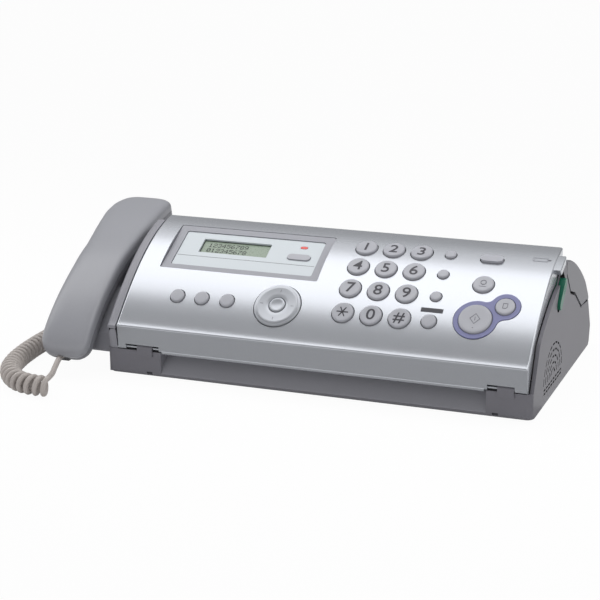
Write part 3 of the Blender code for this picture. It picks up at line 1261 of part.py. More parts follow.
def cradle_outline():
    front_well, rear_well = CRADLE_WELL
    line = underside_line()
    mouth = [p for p in line if CRADLE_FRONT < p[0] < front_well[0]]
    ear = [p for p in line if rear_well[0] < p[0] < HANDSET_END + HANDSET_UNDER / 2]
    back = HANDSET_END + HANDSET_UNDER
    return [(CRADLE_FRONT + SEAM, CRADLE_BOTTOM), (CRADLE_FRONT, CRADLE_BOTTOM + 2 * SEAM), *mouth,
            front_well, rear_well, *ear, (back, ear[-1][1]), (back, CRADLE_BACK_TOP),
            (back + CASE_WALL, CRADLE_BACK_TOP), (CRADLE_REAR, CRADLE_BACK_TOP - 4 * CASE_WALL),
            (CRADLE_REAR, CRADLE_BOTTOM)]


def build_cradle():
    right = -HALF_WIDTH - FIT
    middle = right - CRADLE_WIDTH / 2
    cradle = part("handset_cradle", slab("handset_cradle", cradle_outline(), CRADLE_WIDTH), DARK_PLASTIC,
                  (middle, 0, 0), SIDEWAYS)
    wells = [(CAP_RADIUS + WELL_ROOM, 2 * (CAP_HEIGHT + FIT), cap_matrix(y, 0)) for y in (EAR_Y, MOUTH_Y)]
    boolean(cradle, cutter("cradle_wells", round_bars("cradle_wells", wells, 24)))
    bottom = cap_matrix(EAR_Y, CAP_HEIGHT + FIT)
    hook = bottom @ Matrix.Translation((0, 0, -HOOK_REACH / 2))
    shaft = [(HOOK_RADIUS + RUN_FIT, HOOK_REACH + 2 * WELL_ROOM, hook)]
    boolean(cradle, cutter("hook_bore", round_bars("hook_bore", shaft, 12)))
    joint = make_empty("hook_switch_slide", hook.translation, MACHINE)
    plunger = round_bars("hook_switch", [(HOOK_RADIUS, HOOK_REACH, Matrix())], 12)
    part("hook_switch", plunger, DARK_PLASTIC, hook.translation, hook.to_euler(), joint)


# ---- Curly cord -------------------------------------------------------------------------------------------------------------
def cord_points():
    """The cord's points: straight lead, curls round the route on the table, tail to the jack.

    The curls start at their top, where the lead comes in, and end on the table.
    """
    height = CURL_DIAMETER / 2
    wind = (CURL_DIAMETER - CORD_DIAMETER) / 2
    half = CURL_POINTS // 2
    route, _ = smooth_through([(x, y, height) for x, y in COIL_ROUTE], CURL_COUNT * CURL_POINTS + half + 1)
    y, z = HANDSET_SPINE[0]
    socket = z - SOCKET[1] / 2
    exit_y = y - 2 * FIT
    lead = [(HANDSET_X, exit_y, socket), (HANDSET_X, exit_y - CORD_DIAMETER, socket), *CORD_LEAD]
    coil = []
    for n, (x, y, z) in enumerate(route):
        before = route[max(0, n - 1)]
        after = route[min(len(route) - 1, n + 1)]
        heading = math.atan2(after[1] - before[1], after[0] - before[0])
        angle = math.tau * n / CURL_POINTS
        side = wind * math.sin(angle)
        coil.append((x - side * math.sin(heading), y + side * math.cos(heading), z + wind * math.cos(angle)))
    end_x = -HALF_WIDTH - SOCKET_DEPTH
    tail = [*CORD_TAIL, (end_x - CORD_DIAMETER, BASE_JACK_Y, BASE_JACK_Z), (end_x, BASE_JACK_Y, BASE_JACK_Z)]
    return lead, coil, tail


def least_gap(points):
    """Least gap of the cord's tube to itself, between points that lie apart along it."""
    skip = CURL_POINTS // 2
    least = 1.0
    for n, first in enumerate(points):
        for second in points[n + skip:]:
            least = min(least, math.dist(first, second))
    return least - CORD_DIAMETER


def build_cord():
    lead, coil, tail = cord_points()
    points = lead + coil + tail
    curve = bpy.data.curves.new("handset_cord", "CURVE")
    curve.dimensions = "3D"
    curve.bevel_depth = CORD_DIAMETER / 2
    curve.bevel_resolution = 1
    curve.use_fill_caps = True
    spline = curve.splines.new("POLY")
    spline.points.add(len(points) - 1)
    for point, place in zip(spline.points, points):
        point.co = (*place, 1)
    part("handset_cord", curve, CORD_GREY)
    length = sum(math.dist(a, b) for a, b in zip(points, points[1:]))
    print(f"curly cord: {length:.3f} m of wire, least gap to itself {least_gap(points) * 1000:.2f} mm")
    plug = block("base_plug", (SOCKET_DEPTH + CASE_WALL - FIT, SOCKET[0] - 2 * FIT, SOCKET[1] - 2 * FIT))
    part("base_plug", plug, PLUG_CLEAR, (-HALF_WIDTH - (SOCKET_DEPTH - CASE_WALL - FIT) / 2, BASE_JACK_Y, BASE_JACK_Z))


# ---- Assembly --------------------------------------------------------------------------------------------------------------
clear_scene()
PARTS = make_collection("fax_machine")
CUTTERS = make_collection("cutters")
SKETCHES = make_collection("sketches")
MACHINE = None
CENTRE_X = (TAB_WIDTH - COVER_RIGHT - FIT - CRADLE_WIDTH) / 2
CENTRE_Y = (handset_front() + BODY_DEPTH + CASE_REAR_BULGE[0]) / 2
MACHINE = make_empty("fax_machine_centre")
MACHINE.location = (-CENTRE_X, -CENTRE_Y, 0)

SILVER = material("silver_paint", (0.52, 0.55, 0.58), 0.32, 0.55)
SILVER_DARK = material("silver_ring", (0.42, 0.44, 0.47), 0.3, 0.5)
DARK_PLASTIC = material("grey_abs", (0.15, 0.145, 0.16), 0.5)
HUMP_GREY = material("mid_grey_abs", (0.21, 0.205, 0.22), 0.5)
HANDSET_GREY = material("handset_abs", (0.31, 0.31, 0.33), 0.45)
HANDSET_DARK = material("handset_abs_dark", (0.26, 0.26, 0.28), 0.45)
KEY_GREY = material("key_rubber", (0.46, 0.47, 0.5), 0.45)
FRAME_GREY = material("display_frame", (0.58, 0.6, 0.64), 0.35)
WINDOW_CLEAR = material("display_window", (0.75, 0.82, 0.84), 0.2)
LCD_GREY = material("lcd", (0.33, 0.42, 0.32), 0.3)
LAMP_RED = material("lamp_red", (0.7, 0.03, 0.02), 0.3)
ACCENT = material("accent_violet", (0.27, 0.27, 0.5), 0.35)
LEVER_GREEN = material("lever_green", (0.01, 0.14, 0.08), 0.4)
RUBBER = material("rubber", (0.02, 0.02, 0.02), 0.8)
STEEL = material("steel", (0.5, 0.5, 0.5), 0.35, 1.0)
BOARD_GREEN = material("circuit_board", (0.03, 0.16, 0.06), 0.5)
FILM_BLACK = material("film_black", (0.01, 0.01, 0.012), 0.3)
FILM_BLUE = material("film_core_blue", (0.03, 0.08, 0.3), 0.4)
IVORY = material("gear_acetal", (0.75, 0.72, 0.62), 0.4)
CORD_GREY = material("cord_pvc", (0.45, 0.43, 0.41), 0.45)
PLUG_CLEAR = material("plug", (0.1, 0.1, 0.1), 0.3)

base = build_case()
front_hinge = make_empty("front_cover_hinge", (0, *COVER_HINGE), MACHINE)
front = build_cover(base, front_hinge)
build_board(front_hinge)
build_display(front, front_hinge)
build_accent(front, front_hinge)
build_buttons(front, front_hinge)
back_hinge = make_empty("back_cover_hinge", (0, *BACK_HINGE), MACHINE)
build_back(base, back_hinge)
build_inside()
build_grille(base)
build_lever(base)
build_handset()
build_cradle()
build_cord()
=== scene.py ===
"""Fax machine with a corded handset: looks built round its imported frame.

Lengths are in metres. Shapes are drawn in the machine's own working frame, with x = 0 at the
middle of the body, y = 0 at the foot of its front and z = 0 on the table, and SHIFT carries
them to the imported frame.
"""
import math

import bmesh
import bpy
from mathutils import Euler, Matrix, Vector


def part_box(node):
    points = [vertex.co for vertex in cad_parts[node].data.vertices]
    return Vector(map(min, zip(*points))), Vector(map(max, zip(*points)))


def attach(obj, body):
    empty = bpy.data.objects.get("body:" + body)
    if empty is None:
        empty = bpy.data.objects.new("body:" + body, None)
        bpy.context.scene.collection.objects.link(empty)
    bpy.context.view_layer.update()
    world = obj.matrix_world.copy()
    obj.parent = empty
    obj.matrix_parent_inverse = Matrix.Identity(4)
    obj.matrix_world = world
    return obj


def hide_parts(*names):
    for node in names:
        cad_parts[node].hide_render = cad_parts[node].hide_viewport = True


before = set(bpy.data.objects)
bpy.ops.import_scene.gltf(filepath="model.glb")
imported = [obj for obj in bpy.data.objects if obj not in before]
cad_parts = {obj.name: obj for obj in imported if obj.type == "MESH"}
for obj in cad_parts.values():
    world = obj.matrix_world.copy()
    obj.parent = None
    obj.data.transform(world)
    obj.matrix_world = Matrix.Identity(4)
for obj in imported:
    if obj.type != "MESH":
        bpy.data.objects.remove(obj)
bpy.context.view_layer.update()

# ---- Sizes shared with the solids ----------------------------------------------------------------
BODY_WIDTH = 0.298
BODY_DEPTH = 0.179
CASE_WALL = 0.0025
FRONT_TOP = 0.0198
SEAM = 0.0006
FIT = 0.0003
RUN_FIT = 0.0004
FOOT_RADIUS = 0.007
FOOT_HEIGHT = 0.0025
FOOT_POCKET = 0.0008
FOOT_INSET_X = 0.026
FOOT_INSET_Y = 0.020
COVER_WALL = 0.0024
COVER_LEFT = 0.0082
COVER_RIGHT = 0.003
LIP_DROP = 0.0014
LIP_END = 0.0014
PANEL_FRONT = (-0.0031, 0.0374)
PANEL_FRONT_PULL = (0.0008, 0.0374)
PANEL_REAR_PULL = (0.0361, 0.0854)
PANEL_REAR = (0.0888, 0.0947)
REAR_LIP = 0.0032
FLANGE_KNEE = 0.022
FLANGE_FRONT = 0.0055
FLANGE_REAR = 0.0149
FLANGE_END = 0.086
COVER_HINGE = (0.0007, 0.0220)
HINGE_RADIUS = 0.0018
HINGE_PIN_RADIUS = 0.0008
HINGE_NOTCH_LEFT = (0.0146, 0.0393)
HINGE_KNUCKLE_LEFT = (0.0228, 0.0340)
HINGE_NOTCH_RIGHT = (0.0114, 0.0294)
HINGE_KNUCKLE_RIGHT = (0.0118, 0.0228)
TAB_WIDTH = 0.0050
TAB_START = 0.066
TAB_END = 0.091
TAB_DEPTH = 0.0075
OUTLET = (-0.1090, 0.1190)
OUTLET_DEPTH = 0.0130
OUTLET_TOP = 0.0186
OUTLET_FOOT = 0.0048
BACK_TOP = ((0.0912, 0.0852), (0.1060, 0.0822), (0.1217, 0.0765), (0.1340, 0.0704),
            (0.1470, 0.0628), (0.1585, 0.0546), (0.1660, 0.0468))
BACK_SEAM = ((0.0922, 0.0766), (0.1071, 0.0603), (0.1211, 0.0559), (0.1462, 0.0399))
BACK_WALL = 0.0024
BACK_HINGE = (0.1686, 0.0392)
BACK_KNUCKLE = 0.014
BACK_KNUCKLE_INSET = 0.030
CASE_REAR_BULGE = (0.0024, 0.0158)
CASE_REAR_TOP = 0.0373
PAPER_SLOT_WIDTH = 0.216
PAPER_SLOT = (0.1390, 0.1480)
PEAK = ((0.0805, 0.0822), (0.0890, 0.0850))
KEY_RADIUS = 0.0074
KEY_COLUMNS = 3
KEY_PITCH_X = 0.0195
KEY_PITCH_U = 0.0197
KEY_LEFT = 0.0164
KEY_LOW = 0.0276
BUTTON_TRAVEL = 0.0012
BUTTON_RISE = BUTTON_TRAVEL + 0.0006
BUTTON_FLANGE = 0.0010
BUTTON_CLEARANCE = 0.0003
CURVE_ROOM = 0.00025
MENU_RADIUS = 0.0050
MENU_X = (-0.1030, -0.0849, -0.0664)
MENU_U = 0.0277
SIDE_RADIUS = 0.00375
SIDE_X = 0.0755
SIDE_U = (0.0871, 0.0670, 0.0474)
MONITOR_RADIUS = 0.0050
MONITOR_PLACE = (0.0753, 0.0276)
NAVIGATOR_RADIUS = 0.0162
NAVIGATOR_BORE = 0.0058
NAVIGATOR_PLACE = (-0.0300, 0.0280)
STOP_RADIUS = 0.0070
STOP_PLACE = (0.1042, 0.0612)
START_RADIUS = 0.0110
START_PLACE = (0.1052, 0.0325)
COPY_RADIUS = 0.0065
COPY_PLACE = (0.1226, 0.0443)
PILL_SIZE = (0.0156, 0.0066)
PILL_PLACE = (0.1040, 0.0860)
ACCENT_START_RING = 0.0145
ACCENT_COPY_RING = 0.0100
ACCENT_FILLET = 0.0055
ACCENT_THICKNESS = 0.0012
ACCENT_SINK = 0.0008
DISPLAY_SIZE = (0.1164, 0.0456)
DISPLAY_PLACE = (-0.0665, 0.0735)
DISPLAY_SINK = 0.0023
DISPLAY_THICKNESS = 0.0046
DISPLAY_RIM = 0.0015
DISPLAY_CORNER = 0.0015
WINDOW_SIZE = (0.1040, 0.0350)
WINDOW_PLACE = (DISPLAY_PLACE[0], DISPLAY_PLACE[1] - 0.0002)
WINDOW_SINK = 0.0006
WINDOW_THICKNESS = 0.0014
LCD_SIZE = (0.0640, 0.0200, 0.0024)
LCD_PLACE = (WINDOW_PLACE[0] - 0.0114, WINDOW_PLACE[1] + 0.0045)
AUTO_SIZE = (0.0166, 0.0054)
AUTO_PLACE = (WINDOW_PLACE[0] + WINDOW_SIZE[0] / 2 - 0.0146, WINDOW_PLACE[1] + 0.0004)
LAMP_SIZE = (0.0050, 0.0022)
LAMP_PLACE = (AUTO_PLACE[0] + 0.0005, AUTO_PLACE[1] + 0.0104)
BOARD_SIZE = (BODY_WIDTH - 0.0420, 0.0720, 0.0016)
BOARD_DEPTH = 0.0100
BOARD_U = 0.0600
BOARD_POST = 0.0028
BOARD_MARGIN = 0.0077
BOARD_ROW = 0.0310
BOARD_POSTS = ((-1, -1), (0, 1), (1, -1), (1, 1))
GRILLE_FOOT = (0.0580, 0.0150)
GRILLE_RINGS = 5
GRILLE_FIRST = 0.0048
GRILLE_PITCH = 0.0043
GRILLE_SLOT = 0.0013
GRILLE_ROWS = 3
GRILLE_STRETCH = 1.22
LEVER_FOOT = (0.0690, 0.0606)
LEVER_LENGTH = 0.0170
LEVER_ANGLE = math.radians(44)
LEVER_RADIUS = 0.0034
LEVER_THICKNESS = 0.0060
LEVER_SINK = 0.0007
LEVER_TRAVEL = math.radians(8)
FRAME_X = BODY_WIDTH / 2 - 0.0290
FRAME_WALL = 0.0025
FRAME_TOP = ((0.0240, 0.0160), (0.0320, 0.0450), (0.0620, 0.0660), (0.0860, 0.0680),
             (0.1040, 0.0560), (0.1240, 0.0520), (0.1620, 0.0300))
GEAR_MODULE = 0.0010
GEAR_WIDTH = 0.0050
PLATEN_PLACE = (0.1120, 0.0430)
PLATEN_TEETH = 22
IDLER_TEETH = 14
TAKEUP_TEETH = 18
TRAIN_ANGLE = math.radians(215)
SHAFT_RADIUS = 0.0030
FEED_PLACE = (0.0740, 0.0590)
SUPPLY_PLACE = (0.1450, 0.0210)
MAIN_BOARD = (0.2000, 0.0360, 0.0016)
MAIN_BOARD_PLACE = (0.0, 0.0480)
STANDOFF = 0.0050
STANDOFF_RADIUS = 0.0030
GUIDE_REST = 0.1085
GUIDE_TRAVEL = 0.0400
GUIDE_Y = 0.1100
GUIDE_THICKNESS = 0.0030
GUIDE_SLOT = 0.0040
RACK_WIDTH = 0.0040
RACK_THICKNESS = 0.0018
PINION_TEETH = 12
GEAR_RUN = 0.0004
HANDSET_X = -BODY_WIDTH / 2 - 0.0290
HANDSET_SPINE = ((-0.0105, 0.0176), (-0.0040, 0.0290), (0.0100, 0.0445), (0.0250, 0.0600),
                 (0.0480, 0.0730), (0.0770, 0.0800), (0.1050, 0.0858), (0.1270, 0.0900))
HANDSET_UNDER = 0.0085
HANDSET_SEAM = 0.0004
CAP_RADIUS = 0.0150
CAP_HEIGHT = 0.0050
CAP_ROOT = 0.0030
EAR_Y = 0.1040
MOUTH_Y = 0.0130
HANDSET_TILT = math.radians(28)
CRADLE_WIDTH = 0.0520
CRADLE_BOTTOM = 0.0140
CRADLE_FRONT = 0.0070
CRADLE_REAR = 0.1400
CRADLE_ROOM = 0.0008
CRADLE_WELL = ((0.0420, 0.0440), (0.0760, 0.0520))
WELL_ROOM = 0.0012
HOOK_RADIUS = 0.0030
HOOK_REACH = 0.0125
SOCKET = (0.0092, 0.0076)
SOCKET_DEPTH = 0.0100
BASE_JACK_Y = 0.0950
BASE_JACK_Z = 0.0084
CORD_DIAMETER = 0.0038
CURL_DIAMETER = 0.0146
CURL_COUNT = 31
CORD_LEAD = ((-0.1765, -0.0210, 0.0132), (-0.1725, -0.0330, 0.0122), (-0.1680, -0.0450, 0.0122))
COIL_ROUTE = ((-0.1650, -0.0565), (-0.1760, -0.0570), (-0.1868, -0.0542), (-0.1962, -0.0476),
              (-0.2038, -0.0382), (-0.2095, -0.0265), (-0.2134, -0.0120), (-0.2160, 0.0060),
              (-0.2173, 0.0270), (-0.2172, 0.0490), (-0.2158, 0.0705), (-0.2130, 0.0920))
CORD_TAIL = ((-0.2020, 0.0940, 0.0022), (-0.1910, 0.0950, 0.0036), (-0.1800, 0.0952, 0.0058),
             (-0.1700, 0.0951, 0.0077))
INLET_SIZE = (0.0200, 0.0110)
INLET_X = BODY_WIDTH / 2 - 0.0340
LINE_JACK_X = (-BODY_WIDTH / 2 + 0.0310, -BODY_WIDTH / 2 + 0.0490)
LINE_JACK = (0.0110, 0.0090)
REAR_SOCKET_DEPTH = 0.0090
REAR_SOCKET_WALL = 0.0015
REAR_SOCKET_Z = 0.0112

# ---- Worked out from the sizes -------------------------------------------------------------------
HALF_WIDTH = BODY_WIDTH / 2
CASE_BOTTOM = FOOT_HEIGHT - FOOT_POCKET + FIT
FLOOR = CASE_BOTTOM + CASE_WALL
COVER_X = (-HALF_WIDTH + COVER_LEFT, HALF_WIDTH - COVER_RIGHT)
CURVE_STEPS = 64
SIDEWAYS = (math.pi / 2, 0, math.pi / 2)
HANDSET_END = HANDSET_SPINE[-1][0]
foot_low, foot_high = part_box("foot_front_left")
SHIFT = Vector(((foot_low[0] + foot_high[0]) / 2 + HALF_WIDTH - FOOT_INSET_X,
                (foot_low[1] + foot_high[1]) / 2 - FOOT_INSET_Y, 0))

# ---- Sizes of the looks alone --------------------------------------------------------------------
PANEL_STEPS = 72
CREASE = 0.0013               # round edge between the panel and its skirt
EDGE_ROUND = 0.0014           # round side edges of the cover
CASE_ROUND = 0.0042           # round edges of the case and the cheek
ROUND_STEPS = 5               # facets of a round edge
KEY_EDGE = 0.0011             # round edge of a key's top
FLANGE = 0.0012               # how far a key's flange reaches past it under the panel
PRINT_HEIGHT = 0.00008        # how far printing stands out
CRADLE_LOOK_TOP = 0.0790      # the cradle's rear, lower than the solid's so that the panel hides it
KEY_GAP = 0.0006              # gap round each key, its walls in the inner finish's painted shade
SEAM_GROOVE = 0.0020          # groove along the back cover's seam, its walls in black painted shade
LEVER_OUT = 0.0018            # how far the lever stands out of the side
GRILLE_OPEN = 0.0019          # plastic between two slots of a row
GRILLE_BRICK = 0.0048         # room for one slot along its row
# The handset's own line and its left and right sides along it, read from the photograph.
HANDSET_LINE = ((-0.0134, 0.0130), (-0.0050, 0.0262), (0.0100, 0.0408), (0.0250, 0.0520),
                (0.0480, 0.0648), (0.0770, 0.0745), (0.1050, 0.0828), (0.1325, 0.0888))
HANDSET_LEFT = (-0.1945, -0.1945, -0.1940, -0.1940, -0.1955, -0.1995, -0.2030, -0.2030)
HANDSET_RIGHT = -0.1580       # its right side, straight
HANDSET_CROWN = 0.0086        # how far its top stands over the line, and its belly below it
HANDSET_BELLY = (0.0085, 0.0085, 0.0080, 0.0068, 0.0058, 0.0060, 0.0075, 0.0085)
END_ROUND = (0.0150, 0.0110)  # how round the handset's front end is on its left and its right side
REAR_ROUND = (0.0150, 0.0050)  # the same for its rear end
NAVIGATOR_MARK = (0.0101, 0.0117)  # where the marks on the ring begin and end
KEY_DIGIT = 0.0116            # height of the digits on the keys
DIGIT_WEIGHT = 0.00008        # how much bolder the print is than its font
DOT_WIDE = 1.2                # an LCD dot's width, as a share of the dots' pitch
DOT_TALL = 1.05
DOT_THICK = 0.00006
DIGIT_STEP = 6                # dots from one LCD digit to the next
LINE_STEP = 9.2               # dots from one LCD line to the next
PRINT_EDGE = 0.0003           # round edge of the display's frame and its lamp
CORNER_SKIN = 0.0010          # wall outside the block behind the corner
CORNER_BLOCK = (0.0170, 0.0450, 0.0180)
CORNER_WEDGE = [(-0.0100, 0.0130), (0.0105, -0.0120), (-0.0100, -0.0120)]
CORNER_RUN = 0.1600
CORNER_TURN = math.radians(-7)

SKETCHES = bpy.data.collections.new("sketches")
bpy.context.scene.collection.children.link(SKETCHES)


def finish_mesh(name, bm):
    bmesh.ops.recalc_face_normals(bm, faces=bm.faces)
    mesh = bpy.data.meshes.new(name)
    bm.to_mesh(mesh)
    bm.free()
    return mesh


def slab(name, outline, depth, holes=()):
    """A flat outline in X and Y, with its holes, as a closed solid this deep along Z."""
    curve = bpy.data.curves.new(name, "CURVE")
    curve.dimensions = "2D"
    curve.fill_mode = "BOTH"
    curve.extrude = depth / 2
    for loop in (outline, *holes):
        spline = curve.splines.new("POLY")
        spline.points.add(len(loop) - 1)
        for point, (a, b) in zip(spline.points, loop):
            point.co = (a, b, 0, 1)
        spline.use_cyclic_u = True
    holder = bpy.data.objects.new(name, curve)
    SKETCHES.objects.link(holder)
    graph = bpy.context.evaluated_depsgraph_get()
    mesh = bpy.data.meshes.new_from_object(holder.evaluated_get(graph))
    bpy.data.objects.remove(holder)
    bm = bmesh.new()
    bm.from_mesh(mesh)
    bmesh.ops.remove_doubles(bm, verts=bm.verts, dist=1e-6)
    bmesh.ops.dissolve_limit(bm, angle_limit=0.002, verts=bm.verts, edges=bm.edges)
    return finish_mesh(name, bm)


def round_along(mesh, path, ends, radius):
    """Round those edges of a slab that run along a path, at the given ends of the slab."""
    bm = bmesh.new()
    bm.from_mesh(mesh)

    def lies(vert):
        near = min(math.dist(vert.co[:2], point) for point in path)
        return near < 1e-5 and min(abs(vert.co.z - end) for end in ends) < 1e-6

    edges = [e for e in bm.edges
             if all(lies(v) for v in e.verts) and abs(e.verts[0].co.z - e.verts[1].co.z) < 1e-6]
    bmesh.ops.bevel(bm, geom=edges, offset=radius, segments=ROUND_STEPS, profile=0.5, affect="EDGES")
    return finish_mesh(mesh.name, bm)


def block(name, size, place=(0, 0, 0)):
    bm = bmesh.new()
    bmesh.ops.create_cube(bm, size=1, matrix=Matrix.Translation(place) @ Matrix.Diagonal((*size, 1)))
    return finish_mesh(name, bm)


def span(name, low, high):
    """A block between two corners."""
    size = [b - a for a, b in zip(low, high)]
    middle = [(a + b) / 2 for a, b in zip(low, high)]
    return block(name, size, middle)


def round_bars(name, bars, sides=20):
    """Cylinders in one mesh: each is a radius, a depth and a matrix."""
    bm = bmesh.new()
    for radius, depth, matrix in bars:
        bmesh.ops.create_cone(
            bm, cap_ends=True, segments=sides, radius1=radius, radius2=radius, depth=depth, matrix=matrix
        )
    return finish_mesh(name, bm)


def bar_x(radius, low, high, place, sides=20, name="bar"):
    """A cylinder along X from low to high, through a place (y, z)."""
    turn = Matrix.Rotation(math.pi / 2, 4, "Y")
    middle = Matrix.Translation(((low + high) / 2, *place))
    return round_bars(name, [(radius, high - low, middle @ turn)], sides)


def rounded_box(width, height, radius, steps=3, centre=(0, 0)):
    """The outline of a rectangle with round corners."""
    points = []
    for corner in range(4):
        side_x = 1 if corner in (0, 3) else -1
        side_y = 1 if corner in (0, 1) else -1
        for step in range(steps + 1):
            angle = math.pi / 2 * (corner + step / steps)
            points.append((
                centre[0] + side_x * (width / 2 - radius) + radius * math.cos(angle),
                centre[1] + side_y * (height / 2 - radius) + radius * math.sin(angle),
            ))
    return points


def circle(radius, centre=(0, 0), steps=20):
    return [
        (centre[0] + radius * math.cos(math.tau * n / steps),
         centre[1] + radius * math.sin(math.tau * n / steps))
        for n in range(steps)
    ]


def arc(centre, radius, start, sweep, steps):
    """Points along an arc, without its last one."""
    return [(centre[0] + radius * math.cos(start + sweep * n / steps),
             centre[1] + radius * math.sin(start + sweep * n / steps)) for n in range(steps)]


def step_from(place, distance, angle):
    return place[0] + distance * math.cos(angle), place[1] + distance * math.sin(angle)


def bezier(t):
    ends = (PANEL_FRONT, PANEL_FRONT_PULL, PANEL_REAR_PULL, PANEL_REAR)
    shares = ((1 - t) ** 3, 3 * t * (1 - t) ** 2, 3 * t * t * (1 - t), t ** 3)
    return tuple(sum(share * point[axis] for share, point in zip(shares, ends)) for axis in (0, 1))


def walk_panel():
    """The panel's points from front to rear, each with its distance along the curve."""
    points = [bezier(n / CURVE_STEPS) for n in range(CURVE_STEPS + 1)]
    along = [0.0]
    for first, second in zip(points, points[1:]):
        along.append(along[-1] + math.dist(first, second))
    return points, along


def panel_at(along, sink=0.0):
    """Place (y, z) and slope of the panel at a distance along it, sunk under its surface."""
    along = min(max(along, 0.0), PANEL_LENGTH)
    index = next(n for n in range(1, CURVE_STEPS + 1) if PANEL_ALONG[n] >= along - 1e-9)
    before, after = PANEL[index - 1], PANEL[index]
    share = (along - PANEL_ALONG[index - 1]) / (PANEL_ALONG[index] - PANEL_ALONG[index - 1])
    slope = math.atan2(after[1] - before[1], after[0] - before[0])
    y = before[0] + share * (after[0] - before[0]) + sink * math.sin(slope)
    z = before[1] + share * (after[1] - before[1]) - sink * math.cos(slope)
    return y, z, slope


def panel_run(start, end, steps, sink=0.0):
    return [panel_at(start + (end - start) * n / steps, sink)[:2] for n in range(steps + 1)]


def flange_line(room, steps=4):
    """Lower edge of the cover's side flange from the front up to its rear end, lowered by room."""
    points = []
    for n in range(steps + 1):
        along = FLANGE_KNEE + (FLANGE_END - FLANGE_KNEE) * n / steps
        depth = FLANGE_FRONT + (FLANGE_REAR - FLANGE_FRONT) * n / steps
        points.append(panel_at(along, depth + room)[:2])
    return points


def from_side(side, insets):
    """Two places across, given as distances from the body's left (-1) or right (1) side."""
    return tuple(sorted(side * (HALF_WIDTH - inset) for inset in insets))


def case_outline():
    """Side view of the case: floor, front beam, edge under the cover, peak, back cover's seam."""
    knee = flange_line(SEAM, 24)
    seam = [(y - SEAM / 2, z - SEAM) for y, z in BACK_SEAM]
    rear_top = (BACK_HINGE[0] + HINGE_RADIUS, CASE_REAR_TOP - FIT)
    return [
        (CASE_WALL, CASE_BOTTOM), (0, CASE_BOTTOM + CASE_WALL), (0, FRONT_TOP),
        (COVER_HINGE[0] + HINGE_RADIUS + SEAM, FRONT_TOP), *knee, *PEAK, *seam, rear_top,
        (BODY_DEPTH + CASE_REAR_BULGE[0], CASE_REAR_BULGE[1]), (BODY_DEPTH, CASE_BOTTOM + CASE_WALL),
        (BODY_DEPTH - CASE_WALL, CASE_BOTTOM),
    ]


def case_cavity():
    beam = OUTLET_DEPTH + CASE_WALL
    rear = BODY_DEPTH - CASE_WALL
    top = PANEL_REAR[1] + CASE_WALL
    rear_top = BACK_HINGE[0] - HINGE_RADIUS - FIT
    return [
        (2 * CASE_WALL, FLOOR), (beam, OUTLET_TOP - CASE_WALL), (beam, FRONT_TOP),
            (-2 * CASE_WALL, FRONT_TOP),
        (-2 * CASE_WALL, top), (rear_top, top), (rear_top, CASE_REAR_TOP), (rear, CASE_REAR_BULGE[1]),
            (rear, FLOOR),
    ]


def cheek_outline(inset):
    """Side view of the fixed cheek at the left of the cover, drawn in by an inset."""
    rim = panel_run(0.0, PANEL_LENGTH * 0.93, 48, SEAM + inset)
    rear = BACK_TOP[0][0] - SEAM - inset
    foot = FRONT_TOP - SEAM + inset
    return [(SEAM + inset, foot), *rim, (rear, BACK_TOP[0][1]), (rear, BACK_SEAM[1][1]),
            (OUTLET_DEPTH + SEAM + inset, foot)]


def foot_places():
    x = HALF_WIDTH - FOOT_INSET_X
    return [(side * x, y) for side in (-1, 1) for y in (FOOT_INSET_Y, BODY_DEPTH - FOOT_INSET_Y)]


def back_hollow():
    inside = []
    for n, (y, z) in enumerate(BACK_TOP):
        ahead = BACK_TOP[min(n + 1, len(BACK_TOP) - 1)]
        behind = BACK_TOP[max(n - 1, 0)]
        slope = math.atan2(ahead[1] - behind[1], ahead[0] - behind[0])
        inside.append((y + BACK_WALL * math.sin(slope), z - BACK_WALL * math.cos(slope)))
    inside[0] = (BACK_TOP[0][0] + BACK_WALL, inside[0][1])
    low = BACK_HINGE[1] - 3 * HINGE_RADIUS
    end = BACK_HINGE[0] - HINGE_RADIUS
    return [(inside[0][0], low), *inside, (end, BACK_HINGE[1] + HINGE_RADIUS), (end, low)]


def back_surface(y):
    """Height and slope of the back cover's top at a depth y."""
    for (y0, z0), (y1, z1) in zip(BACK_TOP, BACK_TOP[1:]):
        if y0 <= y <= y1:
            return z0 + (z1 - z0) * (y - y0) / (y1 - y0), math.atan2(z1 - z0, y1 - y0)
    return BACK_TOP[-1][1], 0.0


def pitch_radius(teeth):
    return teeth * GEAR_MODULE / 2


def mesh_distance(first, second):
    return pitch_radius(first) + pitch_radius(second)


def idler_place():
    return step_from(PLATEN_PLACE, mesh_distance(PLATEN_TEETH, IDLER_TEETH), TRAIN_ANGLE)


def takeup_place():
    return step_from(idler_place(), mesh_distance(IDLER_TEETH, TAKEUP_TEETH), TRAIN_ANGLE)


def board_room(row):
    """Height of the panel's surface over the board's top face, at a row of the board."""
    y, z, slope = panel_at(BOARD_U, BOARD_DEPTH)
    near = min(PANEL, key=lambda p: abs((p[0] - y) * math.cos(slope) + (p[1] - z) * math.sin(slope) - row))
    return (near[1] - z) * math.cos(slope) - (near[0] - y) * math.sin(slope)


def board_matrix(x, row, lift):
    """A place on the control board, lifted over its top face."""
    y, z, slope = panel_at(BOARD_U, BOARD_DEPTH)
    middle = Matrix.LocRotScale(Vector(((COVER_X[0] + COVER_X[1]) / 2, y, z)), Euler((slope, 0, 0)), None)
    return middle @ Matrix.Translation((x, row, lift))


def pill(size, room=0.0, centre=(0, 0)):
    radius = size[1] / 2 + room
    return rounded_box(size[0] + 2 * room, 2 * radius, radius * 0.999, 3, centre)


